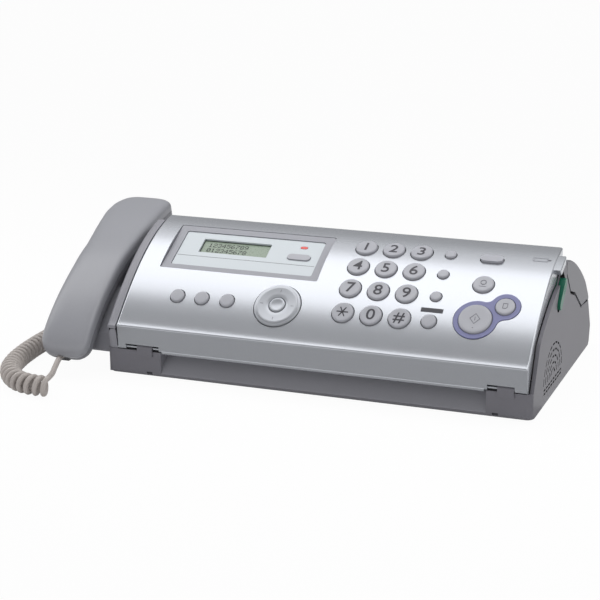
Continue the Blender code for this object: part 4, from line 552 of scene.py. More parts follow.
def dash_mesh(name, dashes, depth):
    """Slots of one length each: a middle (y, z), an angle and a length."""
    bm = bmesh.new()
    for y, z, angle, length in dashes:
        place = Matrix.Translation((0, y, z)) @ Matrix.Rotation(angle, 4, "X")
        bmesh.ops.create_cube(bm, size=1, matrix=place @ Matrix.Diagonal((depth, length, GRILLE_SLOT, 1)))
    return finish_mesh(name, bm)


def lever_outline(room, spread=0.0):
    """A bar with round ends that stands on its lower end; spread opens its upper end."""
    radius = LEVER_RADIUS + room
    top = [(LEVER_LENGTH + radius * math.cos(a),
            (spread / 2 if math.sin(a) > 0 else -spread / 2) + radius * math.sin(a))
           for a in (-math.pi / 2 + math.pi * n / 8 for n in range(9))]
    foot = [(radius * math.cos(a), radius * math.sin(a))
            for a in (math.pi / 2 + math.pi * n / 8 for n in range(9))]
    return top + foot


def smooth_through(points, count):
    """Points at an even pace along a smooth curve through the given ones."""
    fine = []
    size = len(points[0])
    last = len(points) - 1
    for n in range(last):
        p0, p1, p2, p3 = (points[max(0, min(last, n + k))] for k in (-1, 0, 1, 2))
        for step in range(12):
            t = step / 12
            fine.append(tuple(
                0.5 * (2 * p1[a] + (p2[a] - p0[a]) * t + (2 * p0[a] - 5 * p1[a] + 4 * p2[a] - p3[a]) * t * t
                       + (3 * p1[a] - p0[a] - 3 * p2[a] + p3[a]) * t ** 3) for a in range(size)))
    fine.append(tuple(points[last]))
    along = [0.0]
    for first, second in zip(fine, fine[1:]):
        along.append(along[-1] + math.dist(first, second))
    result = []
    index = 1
    for n in range(count):
        target = along[-1] * n / (count - 1)
        while index < len(along) - 1 and along[index] < target:
            index += 1
        share = (target - along[index - 1]) / (along[index] - along[index - 1])
        before, after = fine[index - 1], fine[index]
        result.append(tuple(before[a] + share * (after[a] - before[a]) for a in range(size)))
    return result, along[-1]


def cradle_outline():
    front_well, rear_well = CRADLE_WELL
    line = underside_line()
    mouth = [p for p in line if CRADLE_FRONT < p[0] < front_well[0]]
    ear = [p for p in line if rear_well[0] < p[0] < HANDSET_END + HANDSET_UNDER / 2]
    back = HANDSET_END + HANDSET_UNDER
    return [(CRADLE_FRONT + SEAM, CRADLE_BOTTOM), (CRADLE_FRONT, CRADLE_BOTTOM + 2 * SEAM), *mouth,
            front_well, rear_well, *ear, (back, ear[-1][1]), (back, CRADLE_LOOK_TOP),
            (back + CASE_WALL, CRADLE_LOOK_TOP), (CRADLE_REAR, CRADLE_LOOK_TOP - 4 * CASE_WALL),
            (CRADLE_REAR, CRADLE_BOTTOM)]


PANEL, PANEL_ALONG = walk_panel()
PANEL_LENGTH = PANEL_ALONG[-1]


def linear(code):
    """A colour written as sRGB hex, in linear light."""
    parts = [int(code[n:n + 2], 16) / 255 for n in (1, 3, 5)]
    return (*[c / 12.92 if c <= 0.04045 else ((c + 0.055) / 1.055) ** 2.4 for c in parts], 1.0)


def add(tree, kind, inputs=None, **settings):
    """Add a node with its settings; an input is a plain value or the socket that feeds it."""
    node = tree.nodes.new(kind)
    for key, value in settings.items():
        setattr(node, key, value)
    for socket, value in (inputs or {}).items():
        if isinstance(value, bpy.types.NodeSocket):
            tree.links.new(value, node.inputs[socket])
        else:
            node.inputs[socket].default_value = value
    return node


def moulded(name, colour, roughness, metallic=0.0, grain=0.0006, depth=0.00003, shade=0.05, coat=0.0):
    """A moulded or painted skin: the grain of its tool as colour, gloss and bump.

    grain is the size of one speck, drawn coarser than the real 0.1 mm so that it shows.
    """
    made = bpy.data.materials.new(name)
    made.use_nodes = True
    tree = made.node_tree
    shader = tree.nodes["Principled BSDF"]
    place = add(tree, "ShaderNodeTexCoord").outputs["Object"]
    specks = add(tree, "ShaderNodeTexNoise",
                 {"Vector": place, "Scale": 1 / grain, "Detail": 2.0}).outputs["Fac"]
    share = add(tree, "ShaderNodeMapRange", {"Value": specks, "From Min": 0.2, "From Max": 0.8}).outputs[0]
    base = linear(colour)
    dark = (*[c * (1 - shade) for c in base[:3]], 1)
    light = (*[min(1.0, c * (1 + shade)) for c in base[:3]], 1)
    mixed = add(tree, "ShaderNodeMix", {0: share, 6: dark, 7: light}, data_type="RGBA").outputs[2]
    tree.links.new(mixed, shader.inputs["Base Color"])
    worn = add(tree, "ShaderNodeMapRange",
               {"Value": specks, "To Min": roughness - 0.03, "To Max": roughness + 0.03}).outputs[0]
    tree.links.new(worn, shader.inputs["Roughness"])
    bump = add(tree, "ShaderNodeBump",
               {"Height": specks, "Strength": 0.35, "Distance": depth}).outputs["Normal"]
    tree.links.new(bump, shader.inputs["Normal"])
    shader.inputs["Metallic"].default_value = metallic
    shader.inputs["Coat Weight"].default_value = coat
    shader.inputs["Coat Roughness"].default_value = 0.08
    made.diffuse_color = base
    return made


def glowing(name, strength):
    """A card of one even grey that only reflections see."""
    made = bpy.data.materials.new(name)
    made.use_nodes = True
    tree = made.node_tree
    tree.nodes.remove(tree.nodes["Principled BSDF"])
    glow = add(tree, "ShaderNodeEmission", {"Color": (1, 1, 1, 1), "Strength": strength}).outputs[0]
    tree.links.new(glow, tree.nodes["Material Output"].inputs["Surface"])
    return made


# Aluminium-flake lacquer over ABS: satin, with the sheen running along the curve of the panel.
SILVER = moulded("silver_flake_lacquer", "#bdc0c6", 0.23, metallic=0.72, grain=0.0005, depth=0.000012,
                 shade=0.045)
# The navigation ring is sprayed with the same lacquer, a little darker and smoother.
RING_SILVER = moulded("navigator_lacquer", "#b2b5bb", 0.3, metallic=0.45, grain=0.0005, depth=0.00001,
                      shade=0.03)
# Grey ABS from a spark-eroded tool: an even matt grain that kills sharp reflections.
CASE_ABS = moulded("grey_moulded_abs", "#727178", 0.48, grain=0.0007, depth=0.00005)
# The cheek and the cradle take the case's grey ABS painted lighter: painted light on their up-facing tops.
CASE_ABS_PAINTED_LIT = moulded("grey_abs_painted_lit", "#8c8c93", 0.44, grain=0.0007, depth=0.00004)
BACK_ABS = moulded("mid_grey_moulded_abs", "#77777d", 0.46, grain=0.0007, depth=0.00005)
HANDSET_ABS = moulded("satin_handset_abs", "#95969c", 0.3, grain=0.0006, depth=0.00002, shade=0.03)
# The lower shell takes the handset's ABS painted darker: painted shade on its side and underside.
HANDSET_PAINTED_SHADE_ABS = moulded("satin_handset_abs_painted_shade", "#7d7e84", 0.38, grain=0.0006, depth=0.00002,
                            shade=0.03)
# Near black for the walls of slots, dents and grooves: painted shade inside them.
BLACK_PAINTED_SHADE = moulded("black_painted_shade", "#151518", 0.7, grain=0.0008, depth=0.00005)
# The outlet's chute takes grey ABS painted lighter than the case: painted light in place of the shade in its recess.
OUTLET_ABS_PAINTED_LIT = moulded("outlet_abs_painted_lit", "#93939a", 0.5, grain=0.0007, depth=0.00005)
# Dark grey for inside faces and hole walls: the cover's unpainted inside, made darker than the case's grey as
# painted shade in holes, gaps and hollows.
INNER_ABS_AND_SHADE = moulded("inner_abs_and_painted_shade", "#3a3a40", 0.6, grain=0.0008, depth=0.00005)
KEY_CAP = moulded("pale_grey_key_cap", "#a9aab1", 0.36, grain=0.0006, depth=0.00002, shade=0.025)
INK = moulded("dark_grey_ink", "#3e3d44", 0.5, grain=0.0004, depth=0.00001, shade=0.04)
PALE_INK = moulded("grey_pad_print", "#6f6f77", 0.5, grain=0.0004, depth=0.00001, shade=0.04)
FRAME_SILVER = moulded("pale_frame_lacquer", "#96979e", 0.4, metallic=0.15, grain=0.0005, depth=0.00001,
                       shade=0.03)
# Acrylic window, printed pale on its back: the clear face over it is glossy.
WINDOW = moulded("back_printed_acrylic", "#c3cacf", 0.3, grain=0.0009, depth=0.000005, shade=0.01, coat=0.3)
LCD_GLASS = moulded("reflective_lcd_glass", "#879585", 0.28, grain=0.0009, depth=0.000005, shade=0.02,
                    coat=0.2)
# A dark edge all round the LCD's view: painted shadow of the window's edge.
LCD_PAINTED_SHADOW = moulded("lcd_painted_shadow_edge", "#2f3530", 0.5)
LCD_INK = moulded("lcd_segment", "#1f2723", 0.4, shade=0.02)
LAMP = moulded("clear_red_lamp", "#d5392e", 0.2, coat=0.6, shade=0.02)
ACCENT = moulded("violet_tinted_abs", "#787aa2", 0.36, grain=0.0006, depth=0.00001, shade=0.025)
LEVER_ABS = moulded("green_acetal", "#1b6c55", 0.35, grain=0.0006, depth=0.00002)
FOOT_RUBBER = moulded("black_foot_rubber", "#232326", 0.8, grain=0.0008, depth=0.0001)
ROLLER_RUBBER = moulded("ground_roller_rubber", "#2b2b2e", 0.7, grain=0.0005, depth=0.00005)
PLATED_STEEL = moulded("zinc_plated_steel", "#b3b1ab", 0.34, metallic=1.0, grain=0.0012, depth=0.00001)
LAMINATE = moulded("green_board_laminate", "#2c5b3c", 0.45, grain=0.0012, depth=0.00003, shade=0.12)
FILM = moulded("black_transfer_film", "#17171a", 0.25, grain=0.0009, depth=0.00001)
FILM_CORE = moulded("blue_core_acetal", "#2f4f93", 0.4)
GEAR_ACETAL = moulded("ivory_gear_acetal", "#ddd7c4", 0.4)
CORD_PVC = moulded("matt_cord_pvc", "#b3aca8", 0.42, grain=0.0008, depth=0.00003, shade=0.03)
PLUG_BUTYRATE = moulded("smoked_plug_plastic", "#4a4a4f", 0.22, coat=0.4)

FINISHES = {
    "silver_paint": SILVER, "silver_ring": RING_SILVER, "grey_abs": CASE_ABS, "mid_grey_abs": BACK_ABS,
    "handset_abs": HANDSET_ABS, "handset_abs_dark": HANDSET_PAINTED_SHADE_ABS, "key_rubber": KEY_CAP,
    "display_frame": FRAME_SILVER, "display_window": WINDOW, "lcd": LCD_GLASS, "lamp_red": LAMP,
    "accent_violet": ACCENT, "lever_green": LEVER_ABS, "rubber": FOOT_RUBBER, "steel": PLATED_STEEL,
    "circuit_board": LAMINATE, "film_black": FILM, "film_core_blue": FILM_CORE, "gear_acetal": GEAR_ACETAL,
    "cord_pvc": CORD_PVC, "plug": PLUG_BUTYRATE,
}
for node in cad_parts.values():
    for place in node.material_slots:
        if place.material:
            place.material = FINISHES.get(place.material.name.split(".")[0], place.material)
for name in ("platen_roller", "feed_roller"):
    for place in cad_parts[name].material_slots:
        place.material = ROLLER_RUBBER


# ---- Making pieces -------------------------------------------------------------------------------
def stand(place, turn):
    """The matrix of a place and a turn."""
    return Matrix.LocRotScale(Vector(place), Euler(turn), None)


def of(finish, mesh, place=(0, 0, 0), turn=(0, 0, 0)):
    """Give a mesh its finish and set it at a place of the working frame."""
    mesh.materials.clear()
    mesh.materials.append(finish)
    mesh.transform(stand(place, turn))
    return mesh


def join(*made):
    """A step that adds a solid; it takes what of() takes."""
    return "UNION", of(*made)


def cut(*made):
    """A step that cuts a solid away."""
    return "DIFFERENCE", of(*made)


def carve(mesh, steps):
    """Add and cut away solids, one step after the other; a cut takes the tool's finish."""
    holder = bpy.data.objects.new("holder", mesh)
    bpy.context.scene.collection.objects.link(holder)
    tools = []
    for operation, other in steps:
        tool = bpy.data.objects.new("tool", other)
        bpy.context.scene.collection.objects.link(tool)
        step = holder.modifiers.new("step", "BOOLEAN")
        step.operation = operation
        step.solver = "EXACT"
        step.material_mode = "TRANSFER"
        step.object = tool
        tools.append(tool)
    graph = bpy.context.evaluated_depsgraph_get()
    result = bpy.data.meshes.new_from_object(holder.evaluated_get(graph))
    for used in (holder, *tools):
        bpy.data.objects.remove(used)
    return result


def smooth(mesh, angle=math.radians(30)):
    bm = bmesh.new()
    bm.from_mesh(mesh)
    bmesh.ops.remove_doubles(bm, verts=bm.verts, dist=1e-6)
    bmesh.ops.dissolve_degenerate(bm, dist=1e-6, edges=bm.edges)
    bm.to_mesh(mesh)
    bm.free()
    mesh.shade_smooth()
    mesh.set_sharp_from_angle(angle=angle)
    return mesh


def piece(name, mesh, body, replaced=(), weigh=False, matrix=None):
    """A finished mesh as a piece that rides on a body."""
    obj = bpy.data.objects.new(name, mesh)
    bpy.context.scene.collection.objects.link(obj)
    obj.matrix_world = Matrix.Translation(SHIFT) @ (matrix or Matrix())
    if weigh:
        normals = obj.modifiers.new("weighted_normals", "WEIGHTED_NORMAL")
        normals.keep_sharp = True
    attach(obj, body)
    if replaced:
        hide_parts(*replaced)
    return obj


def joined(name, parts):
    """One mesh from several, each keeping its own finish."""
    bm = bmesh.new()
    finishes = []
    for mesh in parts:
        start = len(bm.faces)
        bm.from_mesh(mesh)
        bm.faces.ensure_lookup_table()
        for face in bm.faces[start:]:
            finish = mesh.materials[face.material_index]
            if finish not in finishes:
                finishes.append(finish)
            face.material_index = finishes.index(finish)
    whole = bpy.data.meshes.new(name)
    bm.to_mesh(whole)
    bm.free()
    for finish in finishes:
        whole.materials.append(finish)
    return whole


def lathe(name, profile, finish, steps=56, closed=False):
    """Turn a profile of (radius, height) points, from its top down the outside, round Z."""
    bm = bmesh.new()
    rings = []
    for radius, height in profile:
        if radius == 0:
            rings.append([bm.verts.new((0, 0, height))])
            continue
        rings.append([bm.verts.new((radius * math.cos(math.tau * n / steps),
                                    radius * math.sin(math.tau * n / steps),
                                    height)) for n in range(steps)])
    for first, second in zip(rings, rings[1:] + rings[:1] if closed else rings[1:]):
        for n in range(steps):
            after = (n + 1) % steps
            corners = (first[n % len(first)], first[after % len(first)],
                       second[after % len(second)], second[n % len(second)])
            bm.faces.new(dict.fromkeys(corners))
    mesh = finish_mesh(name, bm)
    mesh.materials.append(finish)
    return mesh


def edge_arc(radius, rise, size, steps=4):
    """Round edge of a turned top, from the top out to the side."""
    return [(radius - size + size * math.sin(math.pi / 2 * n / steps),
             rise - size + size * math.cos(math.pi / 2 * n / steps))
            for n in range(steps + 1)]


def lettering(text, height, finish, place=(0, 0), stretch=1.15, thick=PRINT_HEIGHT, lift=0.0):
    """Plain digits as a thin raised print, centred on a place."""
    curve = bpy.data.curves.new("print", "FONT")
    curve.body = text
    curve.align_x = "CENTER"
    curve.align_y = "CENTER"
    curve.size = height
    curve.extrude = thick
    curve.offset = DIGIT_WEIGHT
    curve.resolution_u = 4
    holder = bpy.data.objects.new("print", curve)
    bpy.context.scene.collection.objects.link(holder)
    graph = bpy.context.evaluated_depsgraph_get()
    mesh = bpy.data.meshes.new_from_object(holder.evaluated_get(graph))
    bpy.data.objects.remove(holder)
    mesh.transform(Matrix.Translation((*place, lift)) @ Matrix.Diagonal((stretch, 1, 1, 1)))
    mesh.materials.clear()
    mesh.materials.append(finish)
    return mesh


def strokes(lines, width, finish, lift=0.0, thick=PRINT_HEIGHT):
    """Straight printed strokes, each from one point to another."""
    bm = bmesh.new()
    for (x0, y0), (x1, y1) in lines:
        length = math.hypot(x1 - x0, y1 - y0) + width
        middle = Matrix.Translation(((x0 + x1) / 2, (y0 + y1) / 2, lift))
        place = middle @ Matrix.Rotation(math.atan2(y1 - y0, x1 - x0), 4, "Z")
        bmesh.ops.create_cube(bm, size=1, matrix=place @ Matrix.Diagonal((length, width, 2 * thick, 1)))
    mesh = finish_mesh("strokes", bm)
    mesh.materials.append(finish)
    return mesh


def outline_of(points, width, finish, lift=0.0):
    return strokes(list(zip(points, points[1:] + points[:1])), width, finish, lift)


# ---- Camera --------------------------------------------------------------------------------------
CAMERA_LENS = 102             # millimetres, on a sensor of CAMERA_SENSOR
CAMERA_SENSOR = 36
CAMERA_PLACE = (0.3959, -1.0816, 0.3685)
CAMERA_TURNS = ((20.734, "Z"), (90 - 15.759, "X"), (-0.167, "Z"))  # degrees: heading, tilt and roll

camera_data = bpy.data.cameras.new("camera")
camera_data.lens = CAMERA_LENS
camera_data.sensor_width = CAMERA_SENSOR
camera = bpy.data.objects.new("camera", camera_data)
bpy.context.scene.collection.objects.link(camera)
view = Matrix.Translation(CAMERA_PLACE)
for degrees, axis in CAMERA_TURNS:
    view = view @ Matrix.Rotation(math.radians(degrees), 4, axis)
camera.matrix_world = view
bpy.context.scene.camera = camera
bpy.context.scene.view_settings.view_transform = "Standard"

# ---- Floor, cards and lamps ----------------------------------------------------------------------
def plate(name, width, height, place, turn, finish):
    """A flat stage plate, its middle at a place of the world."""
    bm = bmesh.new()
    bmesh.ops.create_grid(bm, x_segments=1, y_segments=1, size=0.5,
                          matrix=Matrix.Diagonal((width, height, 1, 1)))
    mesh = bpy.data.meshes.new(name)
    bm.to_mesh(mesh)
    bm.free()
    mesh.materials.append(finish)
    obj = bpy.data.objects.new(name, mesh)
    bpy.context.scene.collection.objects.link(obj)
    obj.location = place
    obj.rotation_euler = turn
    return obj


def card(name, width, height, place, turn, strength):
    """A grey card that only reflections see, as a photographer's flag."""
    made = plate(name, width, height, place, turn, glowing(name, strength))
    made.visible_camera = False
    made.visible_diffuse = False
    made.visible_shadow = False
    made.visible_transmission = False
    made.visible_volume_scatter = False


def seen_directly(tree):
    """1 for rays from the camera, or by way of a reflection or a clear piece, and 0 for light."""
    rays = add(tree, "ShaderNodeLightPath").outputs
    sharp = add(tree, "ShaderNodeMath", {0: rays["Is Camera Ray"], 1: rays["Is Glossy Ray"]},
                operation="MAXIMUM").outputs[0]
    return add(tree, "ShaderNodeMath", {0: sharp, 1: rays["Is Transmission Ray"]},
               operation="MAXIMUM").outputs[0]


def floor_finish():
    """White paper sweep: near white to camera and reflections, and it keeps the machine's shadow."""
    made = bpy.data.materials.new("white_paper_sweep")
    made.use_nodes = True
    tree = made.node_tree
    paper = tree.nodes["Principled BSDF"]
    paper.inputs["Base Color"].default_value = linear("#f4f4f4")
    paper.inputs["Roughness"].default_value = 0.9
    seen = seen_directly(tree)
    share = add(tree, "ShaderNodeMath", {0: seen, 1: FLOOR_WHITE}, operation="MULTIPLY").outputs[0]
    white = add(tree, "ShaderNodeEmission", {"Color": (1, 1, 1, 1), "Strength": 1.0}).outputs[0]
    mixed = add(tree, "ShaderNodeMixShader", {0: share, 1: paper.outputs[0], 2: white}).outputs[0]
    tree.links.new(mixed, tree.nodes["Material Output"].inputs["Surface"])
    return made


def backdrop():
    """The world: white behind the machine, and a plain even light on it."""
    world = bpy.data.worlds.new("studio")
    bpy.context.scene.world = world
    world.use_nodes = True
    tree = world.node_tree
    sky = tree.nodes["Background"]
    seen = seen_directly(tree)
    strength = add(tree, "ShaderNodeMapRange",
                   {"Value": seen, "To Min": WORLD_LIGHT, "To Max": 1.0}).outputs[0]
    tree.links.new(strength, sky.inputs["Strength"])
    sky.inputs["Color"].default_value = (1, 1, 1, 1)


def lamp(name, size, place, aim, power, glossy=True):
    """A soft rectangular lamp that points at a place of the world."""
    data = bpy.data.lights.new(name, "AREA")
    data.shape = "RECTANGLE"
    data.size, data.size_y = size
    data.energy = power
    obj = bpy.data.objects.new(name, data)
    bpy.context.scene.collection.objects.link(obj)
    obj.location = place
    obj.rotation_euler = (Vector(aim) - Vector(place)).to_track_quat("-Z", "Y").to_euler()
    obj.visible_camera = False
    obj.visible_glossy = glossy


WORLD_LIGHT = 0.42            # how strongly the white world lights the machine
FLOOR_WHITE = 0.96            # how white the floor looks
CARD_SIZE = (6, 3.2)
UPRIGHT = (math.pi / 2, 0, 0)
FLAT = (0, 0, 0)
STUDIO_X = -0.08              # the lamps over the machine are centred here
STUDIO_HEIGHT = 0.42
SOFT_BOX_Y = -0.012
SHEEN_DEPTH = 0.06            # the soft box fades to the rear in strips this deep
SHEEN_REAR = 0.15

plate("paper_sweep", 14, 14, (0, 0, 0), FLAT, floor_finish())
backdrop()
card("rear_card", *CARD_SIZE, (0, 1.2, 1.6), UPRIGHT, 0.32)
card("front_card", *CARD_SIZE, (0, -1.7, 2.5), UPRIGHT, 0.26)
card("ceiling_card", *CARD_SIZE, (0, -0.3, 1.5), FLAT, 0.26)
card("floor_card", 3.0, 1.5, (0, -0.80, 0.001), FLAT, 0.4)
for n, strength in enumerate((1.05, 0.85, 0.60)):
    card(f"sheen_card_{n}", 1.7, SHEEN_DEPTH, (STUDIO_X, SHEEN_REAR + SHEEN_DEPTH * n, STUDIO_HEIGHT), FLAT,
         strength)
lamp("soft_box", (1.7, 0.26), (STUDIO_X, SOFT_BOX_Y, STUDIO_HEIGHT), (STUDIO_X, SOFT_BOX_Y, 0.0), 2.75)
lamp("front_fill", (1.6, 0.6), (-0.4, -1.7, 0.32), (0, 0, 0.03), 4.6, glossy=False)


# ---- Curly cord ----------------------------------------------------------------------------------
CURL_STEPS = 16


def cord_line():
    """The cord's centreline in the working frame: lead, curls and tail, as in the solids."""
    height = CURL_DIAMETER / 2
    wind = (CURL_DIAMETER - CORD_DIAMETER) / 2
    route, _ = smooth_through([(x, y, height) for x, y in COIL_ROUTE],
                              CURL_COUNT * CURL_STEPS + CURL_STEPS // 2 + 1)
    y, z = HANDSET_SPINE[0]
    socket = z - SOCKET[1] / 2
    exit_y = y - 2 * FIT
    start = [(HANDSET_X, exit_y, socket), (HANDSET_X, exit_y - CORD_DIAMETER, socket), *CORD_LEAD]
    coil = []
    for n, (x, y, z) in enumerate(route):
        before = route[max(0, n - 1)]
        after = route[min(len(route) - 1, n + 1)]
        heading = math.atan2(after[1] - before[1], after[0] - before[0])
        angle = math.tau * n / CURL_STEPS
        side = wind * math.sin(angle)
        coil.append((x - side * math.sin(heading), y + side * math.cos(heading), z + wind * math.cos(angle)))
    end_x = -HALF_WIDTH - SOCKET_DEPTH
    tail = [*CORD_TAIL, (end_x - CORD_DIAMETER, BASE_JACK_Y, BASE_JACK_Z), (end_x, BASE_JACK_Y, BASE_JACK_Z)]
    lead, _ = smooth_through(start + coil[:1], 24)
    end, _ = smooth_through(coil[-1:] + tail, 20)
    return lead[:-1] + coil + end[1:]


def build_cord():
    points = cord_line()
    curve = bpy.data.curves.new("curly_cord", "CURVE")
    curve.dimensions = "3D"
    curve.bevel_depth = CORD_DIAMETER / 2
    curve.bevel_resolution = 3
    curve.use_fill_caps = True
    spline = curve.splines.new("POLY")
    spline.points.add(len(points) - 1)
    for point, place in zip(spline.points, points):
        point.co = (*place, 1)
    spline.use_smooth = True
    curve.materials.append(CORD_PVC)
    obj = bpy.data.objects.new("curly_cord", curve)
    bpy.context.scene.collection.objects.link(obj)
    obj.location = SHIFT
    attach(obj, "root")
    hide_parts("handset_cord")


build_cord()


# ---- Case ----------------------------------------------------------------------------------------
def shaft_places():
    return {"platen": PLATEN_PLACE, "feed": FEED_PLACE, "takeup": takeup_place(), "supply": SUPPLY_PLACE}


def hinge_steps(pivot, notch, knuckle, finish):
    """Cuts and joins of one hinge: the cover's notch and pin, and the knuckle on the case."""
    y, z = pivot
    reach = HINGE_RADIUS + RUN_FIT
    room = of(finish,
              span("notch", (notch[0], y - 3 * reach, z - 3 * reach), (notch[1], y + 3 * reach, z + reach)))
    pin = of(finish, bar_x(HINGE_PIN_RADIUS, notch[0] - HINGE_RADIUS, notch[1] + HINGE_RADIUS, pivot, 24))
    head = [(y + HINGE_RADIUS * math.cos(a), z + HINGE_RADIUS * math.sin(a))
            for a in (math.pi * n / 16 for n in range(17))]
    foot = [(y - HINGE_RADIUS, z - 3 * HINGE_RADIUS), (y + HINGE_RADIUS, z - 3 * HINGE_RADIUS)]
    bore = circle(HINGE_PIN_RADIUS + RUN_FIT, pivot, 24)
    ear = of(finish, slab("knuckle", head + foot, knuckle[1] - knuckle[0], [bore]),
             ((knuckle[0] + knuckle[1]) / 2, 0, 0), SIDEWAYS)
    return [("DIFFERENCE", room), ("UNION", pin)], [("UNION", ear)]


def cover_hinges(finish):
    pairs = [hinge_steps(COVER_HINGE, from_side(side, notch), from_side(side, knuckle), finish)
             for side, notch, knuckle in ((-1, HINGE_NOTCH_LEFT, HINGE_KNUCKLE_LEFT),
                                          (1, HINGE_NOTCH_RIGHT, HINGE_KNUCKLE_RIGHT))]
    return pairs[0][0] + pairs[1][0], pairs[0][1] + pairs[1][1]


def back_hinges(finish):
    cover_steps, case_steps = [], []
    for side in (-1, 1):
        knuckle = from_side(side, (BACK_KNUCKLE_INSET, BACK_KNUCKLE_INSET + BACK_KNUCKLE))
        on_cover, on_case = hinge_steps(BACK_HINGE, (knuckle[0] - RUN_FIT, knuckle[1] + RUN_FIT), knuckle,
                                        finish)
        cover_steps += on_cover
        case_steps += on_case
    return cover_steps, case_steps


def frame_steps():
    """Side frames with their bearing holes, the idler's stud and the board's standoffs."""
    foot = [(FRAME_TOP[-1][0], FLOOR - FIT), (FRAME_TOP[0][0], FLOOR - FIT)]
    bearings = [circle(SHAFT_RADIUS + RUN_FIT, place, 24) for place in shaft_places().values()]
    steps = []
    for side in (-1, 1):
        wall = slab("side_frame", [*FRAME_TOP, *foot], FRAME_WALL, bearings)
        steps.append(join(CASE_ABS, wall, (side * FRAME_X, 0, 0), SIDEWAYS))
    stud_low = -FRAME_X - FRAME_WALL / 2 - GEAR_WIDTH - 2 * RUN_FIT
    steps.append(join(CASE_ABS, bar_x(SHAFT_RADIUS, stud_low, -FRAME_X, idler_place(), 24)))
    posts = []
    for side_x in (-1, 1):
        for side_y in (-1, 1):
            x = MAIN_BOARD_PLACE[0] + side_x * (MAIN_BOARD[0] / 2 - 2 * STANDOFF_RADIUS)
            y = MAIN_BOARD_PLACE[1] + side_y * (MAIN_BOARD[1] / 2 - 2 * STANDOFF_RADIUS)
            posts.append((STANDOFF_RADIUS, STANDOFF + FIT,
                          Matrix.Translation((x, y, FLOOR + STANDOFF / 2 - FIT / 2))))
    steps.append(join(CASE_ABS, round_bars("standoffs", posts, 20)))
    return steps


def rear_steps():
    """Power inlet, two line jacks and the handset cord's jack."""
    inside = BODY_DEPTH - CASE_WALL
    depth = REAR_SOCKET_DEPTH + REAR_SOCKET_WALL
    steps = []
    for x, (width, height) in [(INLET_X, INLET_SIZE)] + [(x, LINE_JACK) for x in LINE_JACK_X]:
        outer = (width / 2 + REAR_SOCKET_WALL, height / 2 + REAR_SOCKET_WALL)
        box = span("box", (x - outer[0], inside - depth, REAR_SOCKET_Z - outer[1]),
                   (x + outer[0], inside + CASE_WALL / 2, REAR_SOCKET_Z + outer[1]))
        steps.append(join(CASE_ABS, box))
        steps.append(cut(INNER_ABS_AND_SHADE, span(
            "socket", (x - width / 2, inside - REAR_SOCKET_DEPTH, REAR_SOCKET_Z - height / 2),
            (x + width / 2, BODY_DEPTH + 2 * CASE_WALL, REAR_SOCKET_Z + height / 2))))
    jack = block("jack", (3 * CASE_WALL, SOCKET[0], SOCKET[1]), (-HALF_WIDTH, BASE_JACK_Y, BASE_JACK_Z))
    steps.append(cut(INNER_ABS_AND_SHADE, jack))
    return steps


def lever_steps():
    spread = 2 * LEVER_LENGTH * math.sin(LEVER_TRAVEL)
    turn = (Euler(SIDEWAYS).to_matrix() @ Matrix.Rotation(LEVER_ANGLE, 3, "Z")).to_euler()
    hole = slab("lever_hole", lever_outline(RUN_FIT, spread), 6 * CASE_WALL)
    dent = slab("lever_dent", lever_outline(4 * RUN_FIT, 2 * spread), 2 * CASE_WALL)
    groove = [*BACK_SEAM, *[(y - SEAM_GROOVE / 3, z - SEAM_GROOVE) for y, z in reversed(BACK_SEAM)]]
    line = slab("seam_groove", groove, 1.7 * CASE_WALL)
    # The dent, the lever's hole and the seam's groove get black painted shade on their walls.
    return [cut(BLACK_PAINTED_SHADE, dent, (HALF_WIDTH + CASE_WALL / 3, *LEVER_FOOT), turn),
            cut(BLACK_PAINTED_SHADE, hole, (HALF_WIDTH, *LEVER_FOOT), turn),
            cut(BLACK_PAINTED_SHADE, line, (HALF_WIDTH, 0, 0), SIDEWAYS)]


def grille_bricks():
    """Nested arches of short slots over straight rows of them, each row shifted by half a slot."""
    bricks = []
    cy, cz = GRILLE_FOOT
    for ring in range(GRILLE_RINGS):
        radius = GRILLE_FIRST + ring * GRILLE_PITCH
        sweep = math.pi * radius * (1 + GRILLE_STRETCH) / 2
        count = max(2, round(sweep / (GRILLE_BRICK + GRILLE_OPEN)))
        for n in range(count):
            angle = math.pi * (n + 0.5) / count
            tilt = math.atan2(math.cos(angle), -GRILLE_STRETCH * math.sin(angle))
            bricks.append((cy + GRILLE_STRETCH * radius * math.cos(angle), cz + radius * math.sin(angle),
                           tilt, sweep / count - GRILLE_OPEN))
    width = GRILLE_STRETCH * (GRILLE_FIRST + (GRILLE_RINGS - 1) * GRILLE_PITCH)
    for row in range(1, GRILLE_ROWS):
        count = round(2 * width / (GRILLE_BRICK + GRILLE_OPEN))
        step = 2 * width / count
        for n in range(count):
            bricks.append((cy - width + step * (n + 0.5), cz - row * GRILLE_PITCH * 0.62, 0.0,
                           step - GRILLE_OPEN))
    return bricks


def corner_steps():
    """A slight chamfer low on the case's left edge, cut in a block that is added behind it."""
    x, z = -HALF_WIDTH, CASE_BOTTOM + CORNER_SKIN
    filler = span("filler", (x + CORNER_SKIN, CORNER_SKIN, z),
                  (x + CORNER_BLOCK[0], CORNER_BLOCK[1], CORNER_BLOCK[2]))
    wedge = slab("wedge", CORNER_WEDGE, CORNER_RUN)
    turn = (Matrix.Rotation(CORNER_TURN, 3, "Z") @ Euler(UPRIGHT).to_matrix()).to_euler()
    return [join(CASE_ABS, filler), cut(CASE_ABS, wedge, (x, 0, z), turn)]


